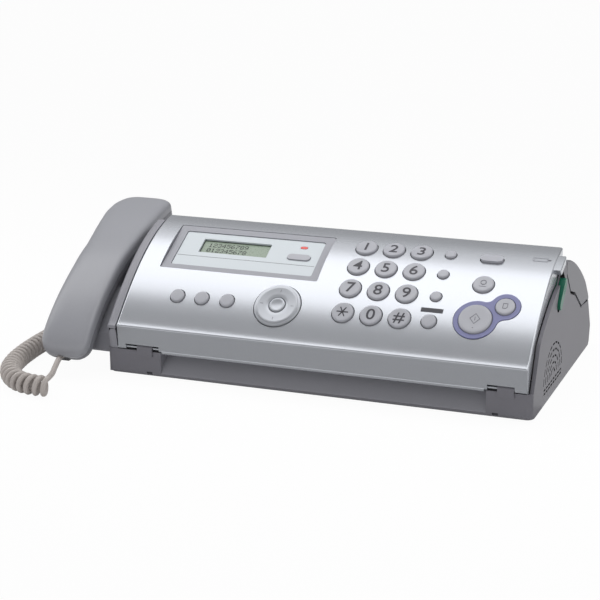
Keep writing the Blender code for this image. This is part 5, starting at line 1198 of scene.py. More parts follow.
def build_case():
    corner = [(CASE_WALL, CASE_BOTTOM), (0, CASE_BOTTOM + CASE_WALL), (0, FRONT_TOP)]
    shell = round_along(slab("case", case_outline(), BODY_WIDTH), corner, (-HALF_WIDTH, HALF_WIDTH),
                        CASE_ROUND)
    of(CASE_ABS, shell, turn=SIDEWAYS)
    inner = BODY_WIDTH - 2 * CASE_WALL
    steps = [cut(INNER_ABS_AND_SHADE, slab("cavity", case_cavity(), inner), (0, 0, 0), SIDEWAYS)]
    cheek_middle = -HALF_WIDTH + COVER_LEFT / 2 - SEAM / 2
    width = COVER_LEFT - SEAM
    rim = cheek_outline(0)
    cheek = round_along(slab("cheek", rim, width), rim[:-3], (-width / 2,), CASE_ROUND)
    # The cheek's lighter grey is painted light on its top.
    steps.append(join(CASE_ABS_PAINTED_LIT, cheek, (cheek_middle, 0, 0), SIDEWAYS))
    hollow = slab("cheek_hollow", cheek_outline(CASE_WALL), COVER_LEFT)
    steps.append(cut(INNER_ABS_AND_SHADE, hollow, (cheek_middle + CASE_WALL, 0, 0), SIDEWAYS))
    chute = [(-CASE_WALL, OUTLET_FOOT), (0, OUTLET_FOOT), (OUTLET_DEPTH, OUTLET_TOP),
             (OUTLET_DEPTH + 2 * CASE_WALL, OUTLET_TOP), (OUTLET_DEPTH + 2 * CASE_WALL, COVER_HINGE[1]),
             (-CASE_WALL, COVER_HINGE[1])]
    # The chute's walls are painted lighter: painted light in the recess.
    steps.append(cut(OUTLET_ABS_PAINTED_LIT, slab("outlet", chute, OUTLET[1] - OUTLET[0]),
                                   ((OUTLET[0] + OUTLET[1]) / 2, 0, 0), SIDEWAYS))
    steps += frame_steps() + rear_steps()
    pockets = [(FOOT_RADIUS + FIT, 2 * FOOT_POCKET, Matrix.Translation((x, y, CASE_BOTTOM)))
               for x, y in foot_places()]
    steps.append(cut(INNER_ABS_AND_SHADE, round_bars("pockets", pockets, 40)))
    steps += cover_hinges(CASE_ABS)[1] + back_hinges(CASE_ABS)[1]
    # The grille's slot walls get black painted shade.
    steps.append(cut(BLACK_PAINTED_SHADE, dash_mesh("grille", grille_bricks(), 4 * CASE_WALL), (HALF_WIDTH, 0, 0)))
    steps += lever_steps() + corner_steps()
    for x in (OUTLET[0] - 0.0085, OUTLET[1] + 0.0060):
        notch = span("notch", (x - 0.0020, -CASE_WALL, 0), (x + 0.0020, CASE_WALL / 2, CASE_BOTTOM + 0.0034))
        steps.append(cut(INNER_ABS_AND_SHADE, notch))
    piece("case_shell", smooth(carve(shell, steps)), "root", ["base_case"], weigh=True)


# ---- Front cover ---------------------------------------------------------------------------------
def on_panel(x, along, lift=0.0):
    """Place and turn of something that stands on the panel."""
    y, z, slope = panel_at(along, -lift)
    return (x, y, z), (slope, 0, 0)


def panel_matrix(x, along, lift=0.0):
    return stand(*on_panel(x, along, lift))


def display_plane(place, depth):
    """Place and turn of something that lies in the display's flat frame, sunk by a depth."""
    y, z, slope = panel_at(DISPLAY_PLACE[1])
    up = place[1] - DISPLAY_PLACE[1]
    y += up * math.cos(slope) + depth * math.sin(slope)
    z += up * math.sin(slope) - depth * math.cos(slope)
    return (place[0], y, z), (slope, 0, 0)


def accent_outline(room, fine=1):
    """Two rings joined by a neck with round fillets, centred on the start button."""
    big = ACCENT_START_RING + room
    small = ACCENT_COPY_RING + room
    fillet = ACCENT_FILLET - room
    across = (COPY_PLACE[0] - START_PLACE[0], COPY_PLACE[1] - START_PLACE[1])
    between = math.hypot(*across)
    heading = math.atan2(across[1], across[0])
    far_big = big + fillet
    far_small = small + fillet
    at_big = math.acos((between ** 2 + far_big ** 2 - far_small ** 2) / (2 * between * far_big))
    at_small = math.acos((between ** 2 + far_small ** 2 - far_big ** 2) / (2 * between * far_small))
    bend = at_big + at_small - math.pi
    upper = step_from((0, 0), far_big, heading + at_big)
    lower = step_from((0, 0), far_big, heading - at_big)
    points = arc((0, 0), big, heading + at_big, math.tau - 2 * at_big, 22 * fine)
    points += arc(lower, fillet, heading + math.pi - at_big, bend, 4 * fine)
    points += arc(across, small, heading + math.pi + at_small, math.tau - 2 * at_small, 14 * fine)
    points += arc(upper, fillet, heading - at_small, bend, 4 * fine)
    return points, across


def button_places():
    """Every round button: name, radius and place on the panel."""
    labels = ("star", "0", "hash", "7", "8", "9", "4", "5", "6", "1", "2", "3")
    places = []
    for n, label in enumerate(labels):
        row, column = divmod(n, KEY_COLUMNS)
        places.append((f"key_{label}", KEY_RADIUS,
                       (KEY_LEFT + column * KEY_PITCH_X, KEY_LOW + row * KEY_PITCH_U)))
    for name, x in zip(("menu_button_left", "menu_button_middle", "menu_button_right"), MENU_X):
        places.append((name, MENU_RADIUS, (x, MENU_U)))
    for name, along in zip(("redial_button", "recall_button", "mute_button"), SIDE_U):
        places.append((name, SIDE_RADIUS, (SIDE_X, along)))
    places += [("monitor_button", MONITOR_RADIUS, MONITOR_PLACE), ("stop_button", STOP_RADIUS, STOP_PLACE),
               ("start_button", START_RADIUS, START_PLACE), ("copy_button", COPY_RADIUS, COPY_PLACE),
               ("navigator_ring", NAVIGATOR_RADIUS, NAVIGATOR_PLACE)]
    return places


def crease_arc():
    """Round edge between skirt and panel, from the skirt up."""
    foot = (COVER_HINGE[0] - HINGE_RADIUS, COVER_HINGE[1])
    length = math.dist(PANEL_FRONT, foot)
    start = tuple(p + (f - p) * CREASE / length for p, f in zip(PANEL_FRONT, foot))
    end = panel_at(CREASE)[:2]
    points = []
    for n in range(6):
        t = n / 5
        points.append(tuple((1 - t) ** 2 * a + 2 * t * (1 - t) * p + t * t * b
                            for a, p, b in zip(start, PANEL_FRONT, end)))
    return points


def shell_outline():
    """The cover's side view with its front edge rounded."""
    y, z = COVER_HINGE
    foot = [(y + HINGE_RADIUS * math.cos(a), z + HINGE_RADIUS * math.sin(a))
            for a in (-math.pi * n / 16 for n in range(17))]
    knee = flange_line(0, 24)
    rear = panel_at(PANEL_LENGTH, REAR_LIP)[:2]
    path = [*crease_arc(), *panel_run(CREASE, PANEL_LENGTH, PANEL_STEPS)[1:]]
    return [*foot, *path, rear, (PEAK[1][0] - SEAM, PEAK[1][1] + SEAM),
            (PEAK[0][0] - SEAM, PEAK[0][1] + SEAM), *reversed(knee)], [foot[-1], *path]


def cover_hollow():
    skirt = COVER_HINGE[0] + HINGE_RADIUS
    inside = panel_run(0.004, PANEL_LENGTH, 40, COVER_WALL)
    low = COVER_HINGE[1] - 2 * HINGE_RADIUS
    beyond = PANEL_REAR[0] + 4 * COVER_WALL
    rear = panel_at(PANEL_LENGTH, COVER_WALL)[1]
    return [(skirt, low), (skirt, COVER_HINGE[1] + HINGE_RADIUS), *inside[1:], (beyond, rear), (beyond, low)]


def build_cover():
    middle = (COVER_X[0] + COVER_X[1]) / 2
    width = COVER_X[1] - COVER_X[0]
    outline, path = shell_outline()
    shell = round_along(slab("cover", outline, width), path, (-width / 2, width / 2), EDGE_ROUND)
    of(SILVER, shell, (middle, 0, 0), SIDEWAYS)
    hollow = slab("cover_hollow", cover_hollow(), width - 2 * COVER_WALL)
    steps = [cut(INNER_ABS_AND_SHADE, hollow, (middle, 0, 0), SIDEWAYS)]
    outline = [*panel_run(TAB_START + 0.016, TAB_END + 0.008, 12, SEAM),
               *reversed(panel_run(TAB_START + 0.018, TAB_END + 0.006, 12, TAB_DEPTH * 0.75))]
    low = COVER_X[1] - COVER_WALL
    high = COVER_X[1] + TAB_WIDTH
    tab = slab("pull_tab", outline, high - low)
    tab = round_along(tab, outline, ((high - low) / 2,), 0.0008)
    steps.append(join(SILVER, tab, ((low + high) / 2, 0, 0), SIDEWAYS))
    posts = []
    for side, end in BOARD_POSTS:
        x = side * (BOARD_SIZE[0] / 2 - BOARD_MARGIN)
        row = end * BOARD_ROW
        reach = board_room(row) - COVER_WALL / 2
        posts.append((BOARD_POST, reach - FIT, board_matrix(x, row, (reach + FIT) / 2)))
    steps.append(join(INNER_ABS_AND_SHADE, round_bars("board_posts", posts, 24)))
    y, z = COVER_HINGE
    low, high = OUTLET[0] + LIP_END, OUTLET[1] - LIP_END
    lip = slab("skirt_lip", circle(HINGE_RADIUS, (y, z - LIP_DROP), 32), high - low)
    steps.append(join(SILVER, lip, ((low + high) / 2, 0, 0), SIDEWAYS))
    steps += cover_hinges(SILVER)[0]
    x, along = DISPLAY_PLACE
    opening = slab("opening", rounded_box(*DISPLAY_SIZE, DISPLAY_CORNER, 6), 4 * DISPLAY_THICKNESS)
    steps.append(cut(FRAME_SILVER, opening, *on_panel(x, along)))
    wide, _ = accent_outline(FIT, 3)
    sink = ACCENT_THICKNESS - ACCENT_SINK
    recess = slab("recess", wide, 4 * ACCENT_THICKNESS)
    spot = on_panel(*START_PLACE, sink - ACCENT_THICKNESS - FIT + 2 * ACCENT_THICKNESS)
    steps.append(cut(INNER_ABS_AND_SHADE, recess, *spot))
    # The key holes' walls take the inner finish's painted shade, which shows as a dark gap round each key.
    holes = [(radius + KEY_GAP, 6 * COVER_WALL, panel_matrix(*place)) for _, radius, place in button_places()
             if radius not in (START_RADIUS, COPY_RADIUS)]
    holes += [(radius + BUTTON_CLEARANCE, 6 * COVER_WALL, panel_matrix(*place))
              for radius, place in ((START_RADIUS, START_PLACE), (COPY_RADIUS, COPY_PLACE))]
    steps.append(cut(INNER_ABS_AND_SHADE, round_bars("button_holes", holes, 64)))
    hole = slab("caller_hole", pill(PILL_SIZE, KEY_GAP), 6 * COVER_WALL)
    steps.append(cut(INNER_ABS_AND_SHADE, hole, *on_panel(*PILL_PLACE)))
    piece("cover_shell", smooth(carve(shell, steps)), "front_cover", ["front_cover"],
          weigh=True)


build_case()
build_cover()


# ---- Back cover ----------------------------------------------------------------------------------
def back_line():
    """The back cover's top as one smooth curve."""
    return smooth_through(BACK_TOP, 36)[0]


def back_outline():
    y, z = BACK_HINGE
    foot = [(y + HINGE_RADIUS * math.cos(a), z + HINGE_RADIUS * math.sin(a))
            for a in (math.pi / 4 - 1.25 * math.pi * n / 16 for n in range(17))]
    return [*reversed(BACK_SEAM), *back_line(), *foot]


def guide_frame():
    z, slope = back_surface(GUIDE_Y)
    return Matrix.LocRotScale(Vector((0, GUIDE_Y, z)), Euler((slope, 0, 0)), None), z, slope


def build_back():
    outline = back_outline()
    shell = slab("back", outline, BODY_WIDTH)
    shell = round_along(shell, back_line(), (-HALF_WIDTH, HALF_WIDTH), 0.0016)
    of(BACK_ABS, shell, turn=SIDEWAYS)
    steps = [cut(INNER_ABS_AND_SHADE, slab("hollow", back_hollow(), BODY_WIDTH - 2 * BACK_WALL), (0, 0, 0), SIDEWAYS)]
    steps.append(cut(INNER_ABS_AND_SHADE, span(
        "paper_slot", (-PAPER_SLOT_WIDTH / 2, PAPER_SLOT[0], BACK_SEAM[-1][1]),
        (PAPER_SLOT_WIDTH / 2, PAPER_SLOT[1], PANEL_REAR[1]))))
    steps += back_hinges(BACK_ABS)[0]
    frame_at, z, slope = guide_frame()
    reach = pitch_radius(PINION_TEETH) + GEAR_RUN / 2
    for side in (-1, 1):
        row = side * (reach + RACK_WIDTH / 2)
        outer = side * (GUIDE_REST + GUIDE_THICKNESS + RUN_FIT)
        inner = side * (GUIDE_REST - GUIDE_TRAVEL - RUN_FIT)
        low = (min(inner, outer), row - GUIDE_SLOT / 2, -2 * BACK_WALL)
        high = (max(inner, outer), row + GUIDE_SLOT / 2, BACK_WALL)
        steps.append(cut(INNER_ABS_AND_SHADE, span("guide_slot", low, high), (0, GUIDE_Y, z), (slope, 0, 0)))
    stud = round_bars("pinion_stud", [(SHAFT_RADIUS / 2, 2 * RACK_THICKNESS + BACK_WALL / 2, Matrix())], 24)
    place = frame_at @ Vector((0, 0, -BACK_WALL / 2 - RACK_THICKNESS))
    steps.append(join(INNER_ABS_AND_SHADE, stud, place, (slope, 0, 0)))
    piece("back_shell", smooth(carve(shell, steps)), "back_cover", ["back_cover"], weigh=True)


# ---- Display -------------------------------------------------------------------------------------
DIGIT_DOTS = {
    "0": ("01110", "10001", "10011", "10101", "11001", "10001", "01110"),
    "1": ("00100", "01100", "00100", "00100", "00100", "00100", "01110"),
    "2": ("01110", "10001", "00001", "00110", "01000", "10000", "11111"),
    "3": ("01110", "10001", "00001", "00110", "00001", "10001", "01110"),
    "4": ("00010", "00110", "01010", "10010", "11111", "00010", "00010"),
    "5": ("11111", "10000", "11110", "00001", "00001", "10001", "01110"),
    "6": ("00110", "01000", "10000", "11110", "10001", "10001", "01110"),
    "7": ("11111", "00001", "00010", "00100", "01000", "01000", "01000"),
    "8": ("01110", "10001", "10001", "01110", "10001", "10001", "01110"),
    "9": ("01110", "10001", "10001", "01111", "00001", "00010", "01100"),
}
LCD_VIEW = (0.0508, 0.0138)
LCD_VIEW_PLACE = (-0.0779, 0.0777)
DOT_PITCH = 0.00056


def lcd_dots(rows, corner, lift):
    """Dot-matrix digits: a small flat bar for each dark dot."""
    bm = bmesh.new()
    for line, text in enumerate(rows):
        for column, sign in enumerate(text):
            for down, dots in enumerate(DIGIT_DOTS[sign]):
                for across, dot in enumerate(dots):
                    if dot == "0":
                        continue
                    x = corner[0] + (column * DIGIT_STEP + across) * DOT_PITCH
                    y = corner[1] - (line * LINE_STEP + down) * DOT_PITCH
                    size = (DOT_PITCH * DOT_WIDE, DOT_PITCH * DOT_TALL, DOT_THICK)
                    place = Matrix.Translation((x, y, lift)) @ Matrix.Diagonal((*size, 1))
                    bmesh.ops.create_cube(bm, size=1, matrix=place)
    mesh = finish_mesh("lcd_dots", bm)
    mesh.materials.append(LCD_INK)
    return mesh


def build_display():
    width, height = DISPLAY_SIZE
    centre = (WINDOW_PLACE[0] - DISPLAY_PLACE[0], WINDOW_PLACE[1] - DISPLAY_PLACE[1])
    hole = rounded_box(*WINDOW_SIZE, DISPLAY_CORNER, 8, centre)
    plate_mesh = slab("frame", rounded_box(width - 2 * FIT, height - 2 * FIT, DISPLAY_CORNER, 8),
                      DISPLAY_THICKNESS, [hole])
    middle = -DISPLAY_SINK - DISPLAY_THICKNESS / 2
    of(FRAME_SILVER, plate_mesh, *on_panel(*DISPLAY_PLACE, middle))
    rim = slab("rim", rounded_box(width + 2 * DISPLAY_RIM, height + 2 * DISPLAY_RIM, DISPLAY_CORNER, 8),
               DISPLAY_RIM, [hole])
    rim_depth = DISPLAY_SINK + DISPLAY_THICKNESS - DISPLAY_RIM / 2
    of(FRAME_SILVER, rim, *on_panel(*DISPLAY_PLACE, -rim_depth))
    bezel = smooth(carve(plate_mesh, [("UNION", rim)]))
    rounded(piece("display_bezel", bezel, "front_cover", ["display_frame"]), PRINT_EDGE, 2,
            30)
    slide = (AUTO_PLACE[0] - WINDOW_PLACE[0], AUTO_PLACE[1] - WINDOW_PLACE[1])
    lamp_spot = (LAMP_PLACE[0] - WINDOW_PLACE[0], LAMP_PLACE[1] - WINDOW_PLACE[1])
    view_spot = (LCD_VIEW_PLACE[0] - WINDOW_PLACE[0], LCD_VIEW_PLACE[1] - WINDOW_PLACE[1])
    holes = [pill(AUTO_SIZE, BUTTON_CLEARANCE, slide), pill(LAMP_SIZE, FIT, lamp_spot),
             rounded_box(*LCD_VIEW, 0.0004, 3, view_spot)]
    glass = slab("window", rounded_box(WINDOW_SIZE[0] - 2 * FIT, WINDOW_SIZE[1] - 2 * FIT, DISPLAY_CORNER, 8),
                 WINDOW_THICKNESS, holes)
    glass.materials.append(WINDOW)
    rule_y = 0.0663 - WINDOW_PLACE[1]
    rule_end = WINDOW_SIZE[0] / 2 - 0.0012
    rule = strokes([((-rule_end, rule_y), (rule_end, rule_y))], 0.0003, PALE_INK, WINDOW_THICKNESS / 2)
    window_at = stand(*display_plane(WINDOW_PLACE, DISPLAY_SINK + WINDOW_SINK + WINDOW_THICKNESS / 2))
    piece("display_glass", smooth(joined("display_glass", [glass, rule])), "front_cover", ["display_window"],
          matrix=window_at)
    depth = DISPLAY_SINK + WINDOW_SINK + WINDOW_THICKNESS + FIT
    module = block("lcd", LCD_SIZE)
    module.materials.append(LCD_GLASS)
    top = LCD_SIZE[2] / 2
    x, y = LCD_VIEW_PLACE[0] - LCD_PLACE[0], LCD_VIEW_PLACE[1] - LCD_PLACE[1]
    half_wide, half_high = LCD_VIEW[0] / 2, LCD_VIEW[1] / 2
    dots = lcd_dots(("123456789", "012345678"), (x - half_wide + 0.0047, y + half_high - 0.0026), top)
    rim = [(side_x * half_wide + x, side_y * half_high + y) for side_x,
           side_y in ((-1, -1), (1, -1), (1, 1), (-1, 1))]
    # A dark outline round the LCD's view: painted shadow of the window's edge.
    painted_shadow_edge = outline_of(rim, 0.0010, LCD_PAINTED_SHADOW, top)
    piece("lcd_display", joined("lcd_display", [module, dots, painted_shadow_edge]), "front_cover", ["lcd_module"],
          matrix=stand(*display_plane(LCD_PLACE, depth + LCD_SIZE[2] / 2)))
    lens = slab("lens", pill(LAMP_SIZE), WINDOW_THICKNESS + FIT)
    lens.materials.append(LAMP)
    lens_at = stand(*display_plane(LAMP_PLACE, DISPLAY_SINK + WINDOW_SINK + WINDOW_THICKNESS / 2))
    lens_piece = piece("answer_lens", smooth(lens), "front_cover", ["answer_lamp"],
                       matrix=lens_at)
    rounded(lens_piece, PRINT_EDGE, 2, 30)


# ---- Buttons -------------------------------------------------------------------------------------
def button_profile(radius, dish, edge=KEY_EDGE):
    """A turned key: dished top, round edge, shank through the panel and a flange under it."""
    seat = -COVER_WALL - CURVE_ROOM - FIT
    flange = radius + FLANGE
    flat = radius - edge
    top = [(flat * t, BUTTON_RISE - dish * (1 - t * t)) for t in (0, 0.2, 0.4, 0.6, 0.8)]
    return [*top, *edge_arc(radius, BUTTON_RISE, edge), (radius, seat), (flange, seat),
            (flange, seat - BUTTON_FLANGE), (0, seat - BUTTON_FLANGE)]


def ring_of(radius, width, finish, lift, start=0.0, sweep=math.tau, steps=28):
    points = [(radius * math.cos(start + sweep * n / steps), radius * math.sin(start + sweep * n / steps))
              for n in range(steps + 1)]
    return strokes(list(zip(points, points[1:])), width, finish, lift)


def moved(mesh, x, y):
    mesh.transform(Matrix.Translation((x, y, 0)))
    return mesh


def build_button(name, radius, place, dish, marks=()):
    """A key cap with its print, riding on its own body."""
    cap = lathe(name, button_profile(radius, dish), KEY_CAP, 56 if radius > MENU_RADIUS else 40)
    mesh = smooth(joined(name, [cap, *marks]))
    piece(f"{name}_cap", mesh, name, [name], matrix=panel_matrix(*place))


def build_buttons():
    signs = {"star": "*", "hash": "#"}
    for name, radius, place in button_places():
        if name.startswith("key_"):
            sign = name[4:]
            lift = BUTTON_RISE - 0.00012
            mark = lettering(signs.get(sign, sign), KEY_DIGIT, INK, (0, -0.0002), 1.12, 0.00014, lift)
            if sign == "star":
                arms = [((0.0036 * math.cos(a), 0.0036 * math.sin(a)),
                         (-0.0036 * math.cos(a), -0.0036 * math.sin(a)))
                        for a in (0, math.pi / 3, 2 * math.pi / 3)]
                mark = strokes(arms, 0.0008, INK, lift, 0.00014)
            build_button(name, radius, place, 0.0002, [mark])
        elif name == "start_button":
            lift = BUTTON_RISE - 0.0002
            size = 0.0033
            lozenge = outline_of([(size, 0), (0, size * 1.15), (-size, 0), (0, -size * 1.15)], 0.00035,
                                 PALE_INK, lift)
            bar = strokes([((0, -0.0012), (0, 0.0012))], 0.00035, PALE_INK, lift)
            dot = strokes([((-0.0002, -0.0072), (0.0002, -0.0072))], 0.0005, PALE_INK, BUTTON_RISE - 0.0001)
            build_button(name, radius, place, 0.0003, [lozenge, bar, dot])
        elif name == "stop_button":
            lift = BUTTON_RISE - 0.00012
            build_button(name, radius, place, 0.0002, [
                moved(ring_of(0.0018, 0.0004, PALE_INK, lift), 0, 0.0009),
                strokes([((-0.0022, -0.0026), (0.0022, -0.0026))], 0.0004, PALE_INK, lift)])
        elif name == "copy_button":
            lift = BUTTON_RISE - 0.00012
            sheet = [(-0.0014, -0.0019), (0.0007, -0.0019), (0.0015, -0.0010), (0.0015, 0.0019),
                     (-0.0014, 0.0019)]
            build_button(name, radius, place, 0.0002, [outline_of(sheet, 0.0004, PALE_INK, lift)])
        elif name != "navigator_ring":
            build_button(name, radius, place, 0.0 if radius < MENU_RADIUS else -0.0001)
    build_navigator()
    build_pills()


def build_navigator():
    seat = -COVER_WALL - 4 * CURVE_ROOM - FIT
    rise = BUTTON_RISE
    outer, bore = NAVIGATOR_RADIUS, NAVIGATOR_BORE
    ring = lathe("ring", [
        (bore, rise - 0.0012), (bore + 0.0003, rise - 0.0007), (bore + 0.0009, rise - 0.0004),
        (bore + 0.0030, rise - 0.0003), (outer - 0.0034, rise - 0.0001), (outer - 0.0026, rise),
        (outer - 0.0020, rise - 0.0002), (outer - 0.0017, rise - 0.0006), (outer - 0.0012, rise - 0.0007),
        (outer - 0.0004, rise - 0.0009), (outer, rise - 0.0014),
        (outer, seat), (outer + FLANGE, seat), (outer + FLANGE, seat - BUTTON_FLANGE),
        (bore, seat - BUTTON_FLANGE),
    ], RING_SILVER, 96, closed=True)
    lift = rise - 0.00022
    near, far = NAVIGATOR_MARK
    marks = [strokes([line], 0.0004, PALE_INK, lift) for line in
             (((0, near), (0, far)), ((0, -far), (0, -near)), ((-far, 0), (-near, 0)), ((near, 0), (far, 0)))]
    at = panel_matrix(*NAVIGATOR_PLACE)
    piece("navigator_cap", smooth(joined("navigator", [ring, *marks])), "navigator_ring", ["navigator_ring"],
          matrix=at)
    radius = bore - BUTTON_CLEARANCE
    knob = lathe("knob", [
        (0, rise - 0.0006), (radius * 0.3, rise - 0.00055), (radius * 0.6, rise - 0.0003),
        (radius - 0.0011, rise),
        *edge_arc(radius, rise, 0.0009)[1:], (radius, seat - BUTTON_FLANGE), (0, seat - BUTTON_FLANGE),
    ], RING_SILVER, 56)
    piece("set_cap", smooth(knob), "set_button", ["set_button"], matrix=at)


def build_pills():
    seat = -COVER_WALL - CURVE_ROOM - FIT
    depth = BUTTON_RISE - seat
    top = slab("caller", pill(PILL_SIZE), depth)
    flange = slab("flange", pill(PILL_SIZE, FLANGE), BUTTON_FLANGE)
    of(KEY_CAP, top, *on_panel(*PILL_PLACE, BUTTON_RISE - depth / 2))
    of(KEY_CAP, flange, *on_panel(*PILL_PLACE, seat - BUTTON_FLANGE / 2 + FIT))
    rounded(piece("caller_cap", smooth(carve(top, [("UNION", flange)])), "caller_button", ["caller_button"]), 0.0007)
    under = DISPLAY_SINK + WINDOW_SINK + WINDOW_THICKNESS
    level = DISPLAY_SINK + WINDOW_SINK - BUTTON_RISE / 2
    key = slab("auto", pill(AUTO_SIZE), under + 2 * FIT - level)
    flange = slab("flange", pill(AUTO_SIZE, FLANGE), BUTTON_FLANGE)
    of(KEY_CAP, key, *display_plane(AUTO_PLACE, (level + under + 2 * FIT) / 2))
    of(KEY_CAP, flange, *display_plane(AUTO_PLACE, under + FIT + BUTTON_FLANGE / 2))
    rounded(piece("auto_answer_cap", smooth(carve(key, [("UNION", flange)])), "auto_answer_button",
                  ["auto_answer_button"]), 0.0005)


def rounded(obj, width, segments=3, limit=40):
    """Round every edge of a piece that is sharper than a limit in degrees."""
    soft = obj.modifiers.new("round_edges", "BEVEL")
    soft.width = width
    soft.segments = segments
    soft.limit_method = "ANGLE"
    soft.angle_limit = math.radians(limit)
    return obj


def build_accent():
    outline, across = accent_outline(0, 3)
    lift = ACCENT_THICKNESS - ACCENT_SINK - ACCENT_THICKNESS / 2
    holes = [circle(START_RADIUS + BUTTON_CLEARANCE, (0, 0), 72),
             circle(COPY_RADIUS + BUTTON_CLEARANCE, across, 56)]
    plate_mesh = slab("accent", outline, ACCENT_THICKNESS, holes)
    of(ACCENT, plate_mesh, *on_panel(*START_PLACE, lift))
    rounded(piece("accent_trim", smooth(plate_mesh), "front_cover", ["accent_plate"]),
            0.0003)


def build_panel_print():
    """Generic marks: a bare dark bar over the monitor key and a small outlined frame at the rear."""
    bar = block("bar", (0.0150, 0.0034, 2 * PRINT_HEIGHT))
    bar.materials.append(INK)
    piece("monitor_bar", bar, "front_cover", matrix=panel_matrix(0.0754, 0.0364))
    frame_mark = outline_of([(-0.0054, -0.0018), (0.0038, -0.0018), (0.0038, 0.0018), (-0.0054, 0.0018)],
                            0.0004, PALE_INK)
    arrow = strokes([((0.0049, 0.0), (0.0056, 0.0))], 0.0012, INK)
    piece("feed_mark", joined("feed_mark", [frame_mark, arrow]), "front_cover",
          matrix=panel_matrix(0.1363, 0.0910))


# ---- Handset and cradle --------------------------------------------------------------------------
def share_of(values, share):
    """A value part of the way along a row of values."""
    spot = share * (len(values) - 1)
    index = min(len(values) - 2, int(spot))
    return values[index] + (spot - index) * (values[index + 1] - values[index])


def spine_stations(line=HANDSET_SPINE, count=56):
    """Places along the handset, closer together at its ends, with slope and share of its length."""
    fine, _ = smooth_through(line, 400)
    stations = []
    for n in range(count):
        share = 0.5 - 0.5 * math.cos(math.pi * (n + 0.12) / (count - 0.76))
        index = min(398, max(1, round(share * 399)))
        before, after = fine[index - 1], fine[index + 1]
        stations.append((fine[index], math.atan2(after[1] - before[1], after[0] - before[0]), share))
    return stations


def handset_shell(name, side, finish, points=41):
    """Upper (side 1) or lower (side -1) half of the handset, lofted along its line."""
    length = smooth_through(HANDSET_LINE, 400)[1]
    bm = bmesh.new()
    rings = []
    for (y, z), slope, share in spine_stations(HANDSET_LINE, 64):
        left = share_of(HANDSET_LEFT, share)
        reach = HANDSET_CROWN if side > 0 else share_of(HANDSET_BELLY, share)
        middle = (left + HANDSET_RIGHT) / 2
        near = max(0.00002, min(share, 1 - share) * length)
        rounds = END_ROUND if share < 0.5 else REAR_ROUND
        full = [math.sqrt(1 - (1 - min(1.0, near / size)) ** 2) for size in rounds]
        ring = []
        for n in range(points):
            angle = math.pi * n / (points - 1)
            right = math.cos(angle) > 0
            power = 4.4 if right else 3.0
            across = abs(math.cos(angle)) ** (2 / power) * (HANDSET_RIGHT - middle)
            across *= math.copysign(1, math.cos(angle))
            lift = math.sin(angle) ** (2 / power) if 0 < n < points - 1 else 0.0
            closing = full[1] if right else full[0]
            out = side * (lift * reach * full[1] ** 0.5 + HANDSET_SEAM / 2)
            ring.append(bm.verts.new((middle + across * (0.35 + 0.65 * closing if near > 0.0001 else 0.35),
                                      y - out * math.sin(slope), z + out * math.cos(slope))))
        rings.append(ring)
    for first, second in zip(rings, rings[1:]):
        for n in range(points):
            after = (n + 1) % points
            bm.faces.new((first[n], first[after], second[after], second[n]))
    bm.faces.new(rings[0])
    bm.faces.new(rings[-1])
    mesh = finish_mesh(name, bm)
    mesh.materials.append(finish)
    return mesh


def build_handset():
    upper = handset_shell("upper", 1, HANDSET_ABS)
    piece("handset_upper", smooth(upper, math.radians(40)), "handset", ["handset_shell_upper"])
    # The lower shell's darker grey is painted shade.
    lower = handset_shell("lower", -1, HANDSET_PAINTED_SHADE_ABS)
    caps = [(CAP_RADIUS, CAP_HEIGHT + CAP_ROOT, cap_matrix(y, (CAP_HEIGHT - CAP_ROOT) / 2))
            for y in (EAR_Y, MOUTH_Y)]
    y, z = HANDSET_SPINE[0]
    pocket = block("pocket", (SOCKET[0], 2 * SOCKET_DEPTH, SOCKET[1]), (HANDSET_X, y, z - SOCKET[1] / 2))
    holes = []
    for spot in (EAR_Y, MOUTH_Y):
        face = cap_matrix(spot, CAP_HEIGHT)
        for count, radius in ((1, 0.0), (6, 0.0032), (12, 0.0064)):
            for n in range(count):
                angle = math.tau * n / count
                place = Matrix.Translation((radius * math.cos(angle), radius * math.sin(angle), 0))
                holes.append((0.0008, 0.0016, face @ place))
    steps = [join(HANDSET_PAINTED_SHADE_ABS, round_bars("caps", caps, 64)),
             cut(INNER_ABS_AND_SHADE, pocket),
             cut(INNER_ABS_AND_SHADE, round_bars("sound_holes", holes, 12))]
    piece("handset_lower", smooth(carve(lower, steps), math.radians(40)), "handset", ["handset_shell_lower"])


def underside_line():
    """The line that the handset's underside follows, from front to rear, with room under it."""
    line = []
    for (y, z), slope, share in spine_stations(HANDSET_LINE):
        out = share_of(HANDSET_BELLY, share) + HANDSET_SEAM / 2 + CRADLE_ROOM
        line.append((y + out * math.sin(slope), z - out * math.cos(slope)))
    return line


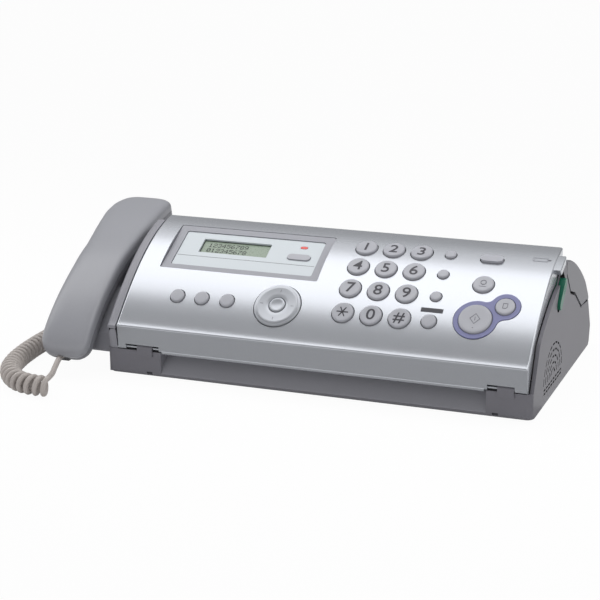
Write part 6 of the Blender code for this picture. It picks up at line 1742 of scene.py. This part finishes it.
def cap_matrix(spine_y, sink):
    """Frame of an ear or mouth cap: its middle sunk under the solid's line at this place."""
    (y, z), slope, _ = min(spine_stations(), key=lambda station: abs(station[0][0] - spine_y))
    out = HANDSET_UNDER + HANDSET_SEAM / 2
    place = Vector((HANDSET_X, y + out * math.sin(slope), z - out * math.cos(slope)))
    turn = Matrix.Rotation((slope + HANDSET_TILT) / 2, 4, "X")
    return Matrix.Translation(place) @ turn @ Matrix.Translation((0, 0, -sink))


def build_cradle():
    middle = -HALF_WIDTH - FIT - CRADLE_WIDTH / 2
    outline = cradle_outline()
    shell = slab("cradle", outline, CRADLE_WIDTH)
    shell = round_along(shell, outline, (-CRADLE_WIDTH / 2,), 0.0012)
    # The cradle's lighter grey is painted light on its top.
    of(CASE_ABS_PAINTED_LIT, shell, (middle, 0, 0), SIDEWAYS)
    wells = [(CAP_RADIUS + WELL_ROOM, 2 * (CAP_HEIGHT + FIT), cap_matrix(y, 0)) for y in (EAR_Y, MOUTH_Y)]
    hook = cap_matrix(EAR_Y, CAP_HEIGHT + FIT) @ Matrix.Translation((0, 0, -HOOK_REACH / 2))
    shaft = [(HOOK_RADIUS + RUN_FIT, HOOK_REACH + 2 * WELL_ROOM, hook)]
    steps = [cut(CASE_ABS_PAINTED_LIT, round_bars("wells", wells, 64)),
             cut(INNER_ABS_AND_SHADE, round_bars("hook_bore", shaft, 24))]
    piece("cradle_shell", smooth(carve(shell, steps)), "root", ["handset_cradle"], weigh=True)


def build_lever():
    turn = (Euler(SIDEWAYS).to_matrix() @ Matrix.Rotation(LEVER_ANGLE, 3, "Z")).to_euler()
    depth = LEVER_THICKNESS + LEVER_SINK + LEVER_OUT
    middle = HALF_WIDTH + LEVER_OUT - depth / 2
    bar = slab("lever", lever_outline(0), depth)
    of(LEVER_ABS, bar, (middle, *LEVER_FOOT), turn)
    ribs = []
    for n in range(4):
        along = LEVER_LENGTH * (0.60 + 0.13 * n)
        place = Matrix.LocRotScale(Vector((middle, *LEVER_FOOT)), turn, None)
        rib = block("rib", (0.0007, LEVER_RADIUS * 1.5, 0.0008))
        rib.transform(place @ Matrix.Translation((along, 0, depth / 2 - 0.0003)))
        rib.materials.append(LEVER_ABS)
        ribs.append(("UNION", rib))
    rounded(piece("release_lever_bar", smooth(carve(bar, ribs)), "release_lever", ["release_lever"]), 0.0002)


build_back()
build_display()
build_buttons()
build_accent()
build_panel_print()
build_handset()
build_cradle()
build_lever()
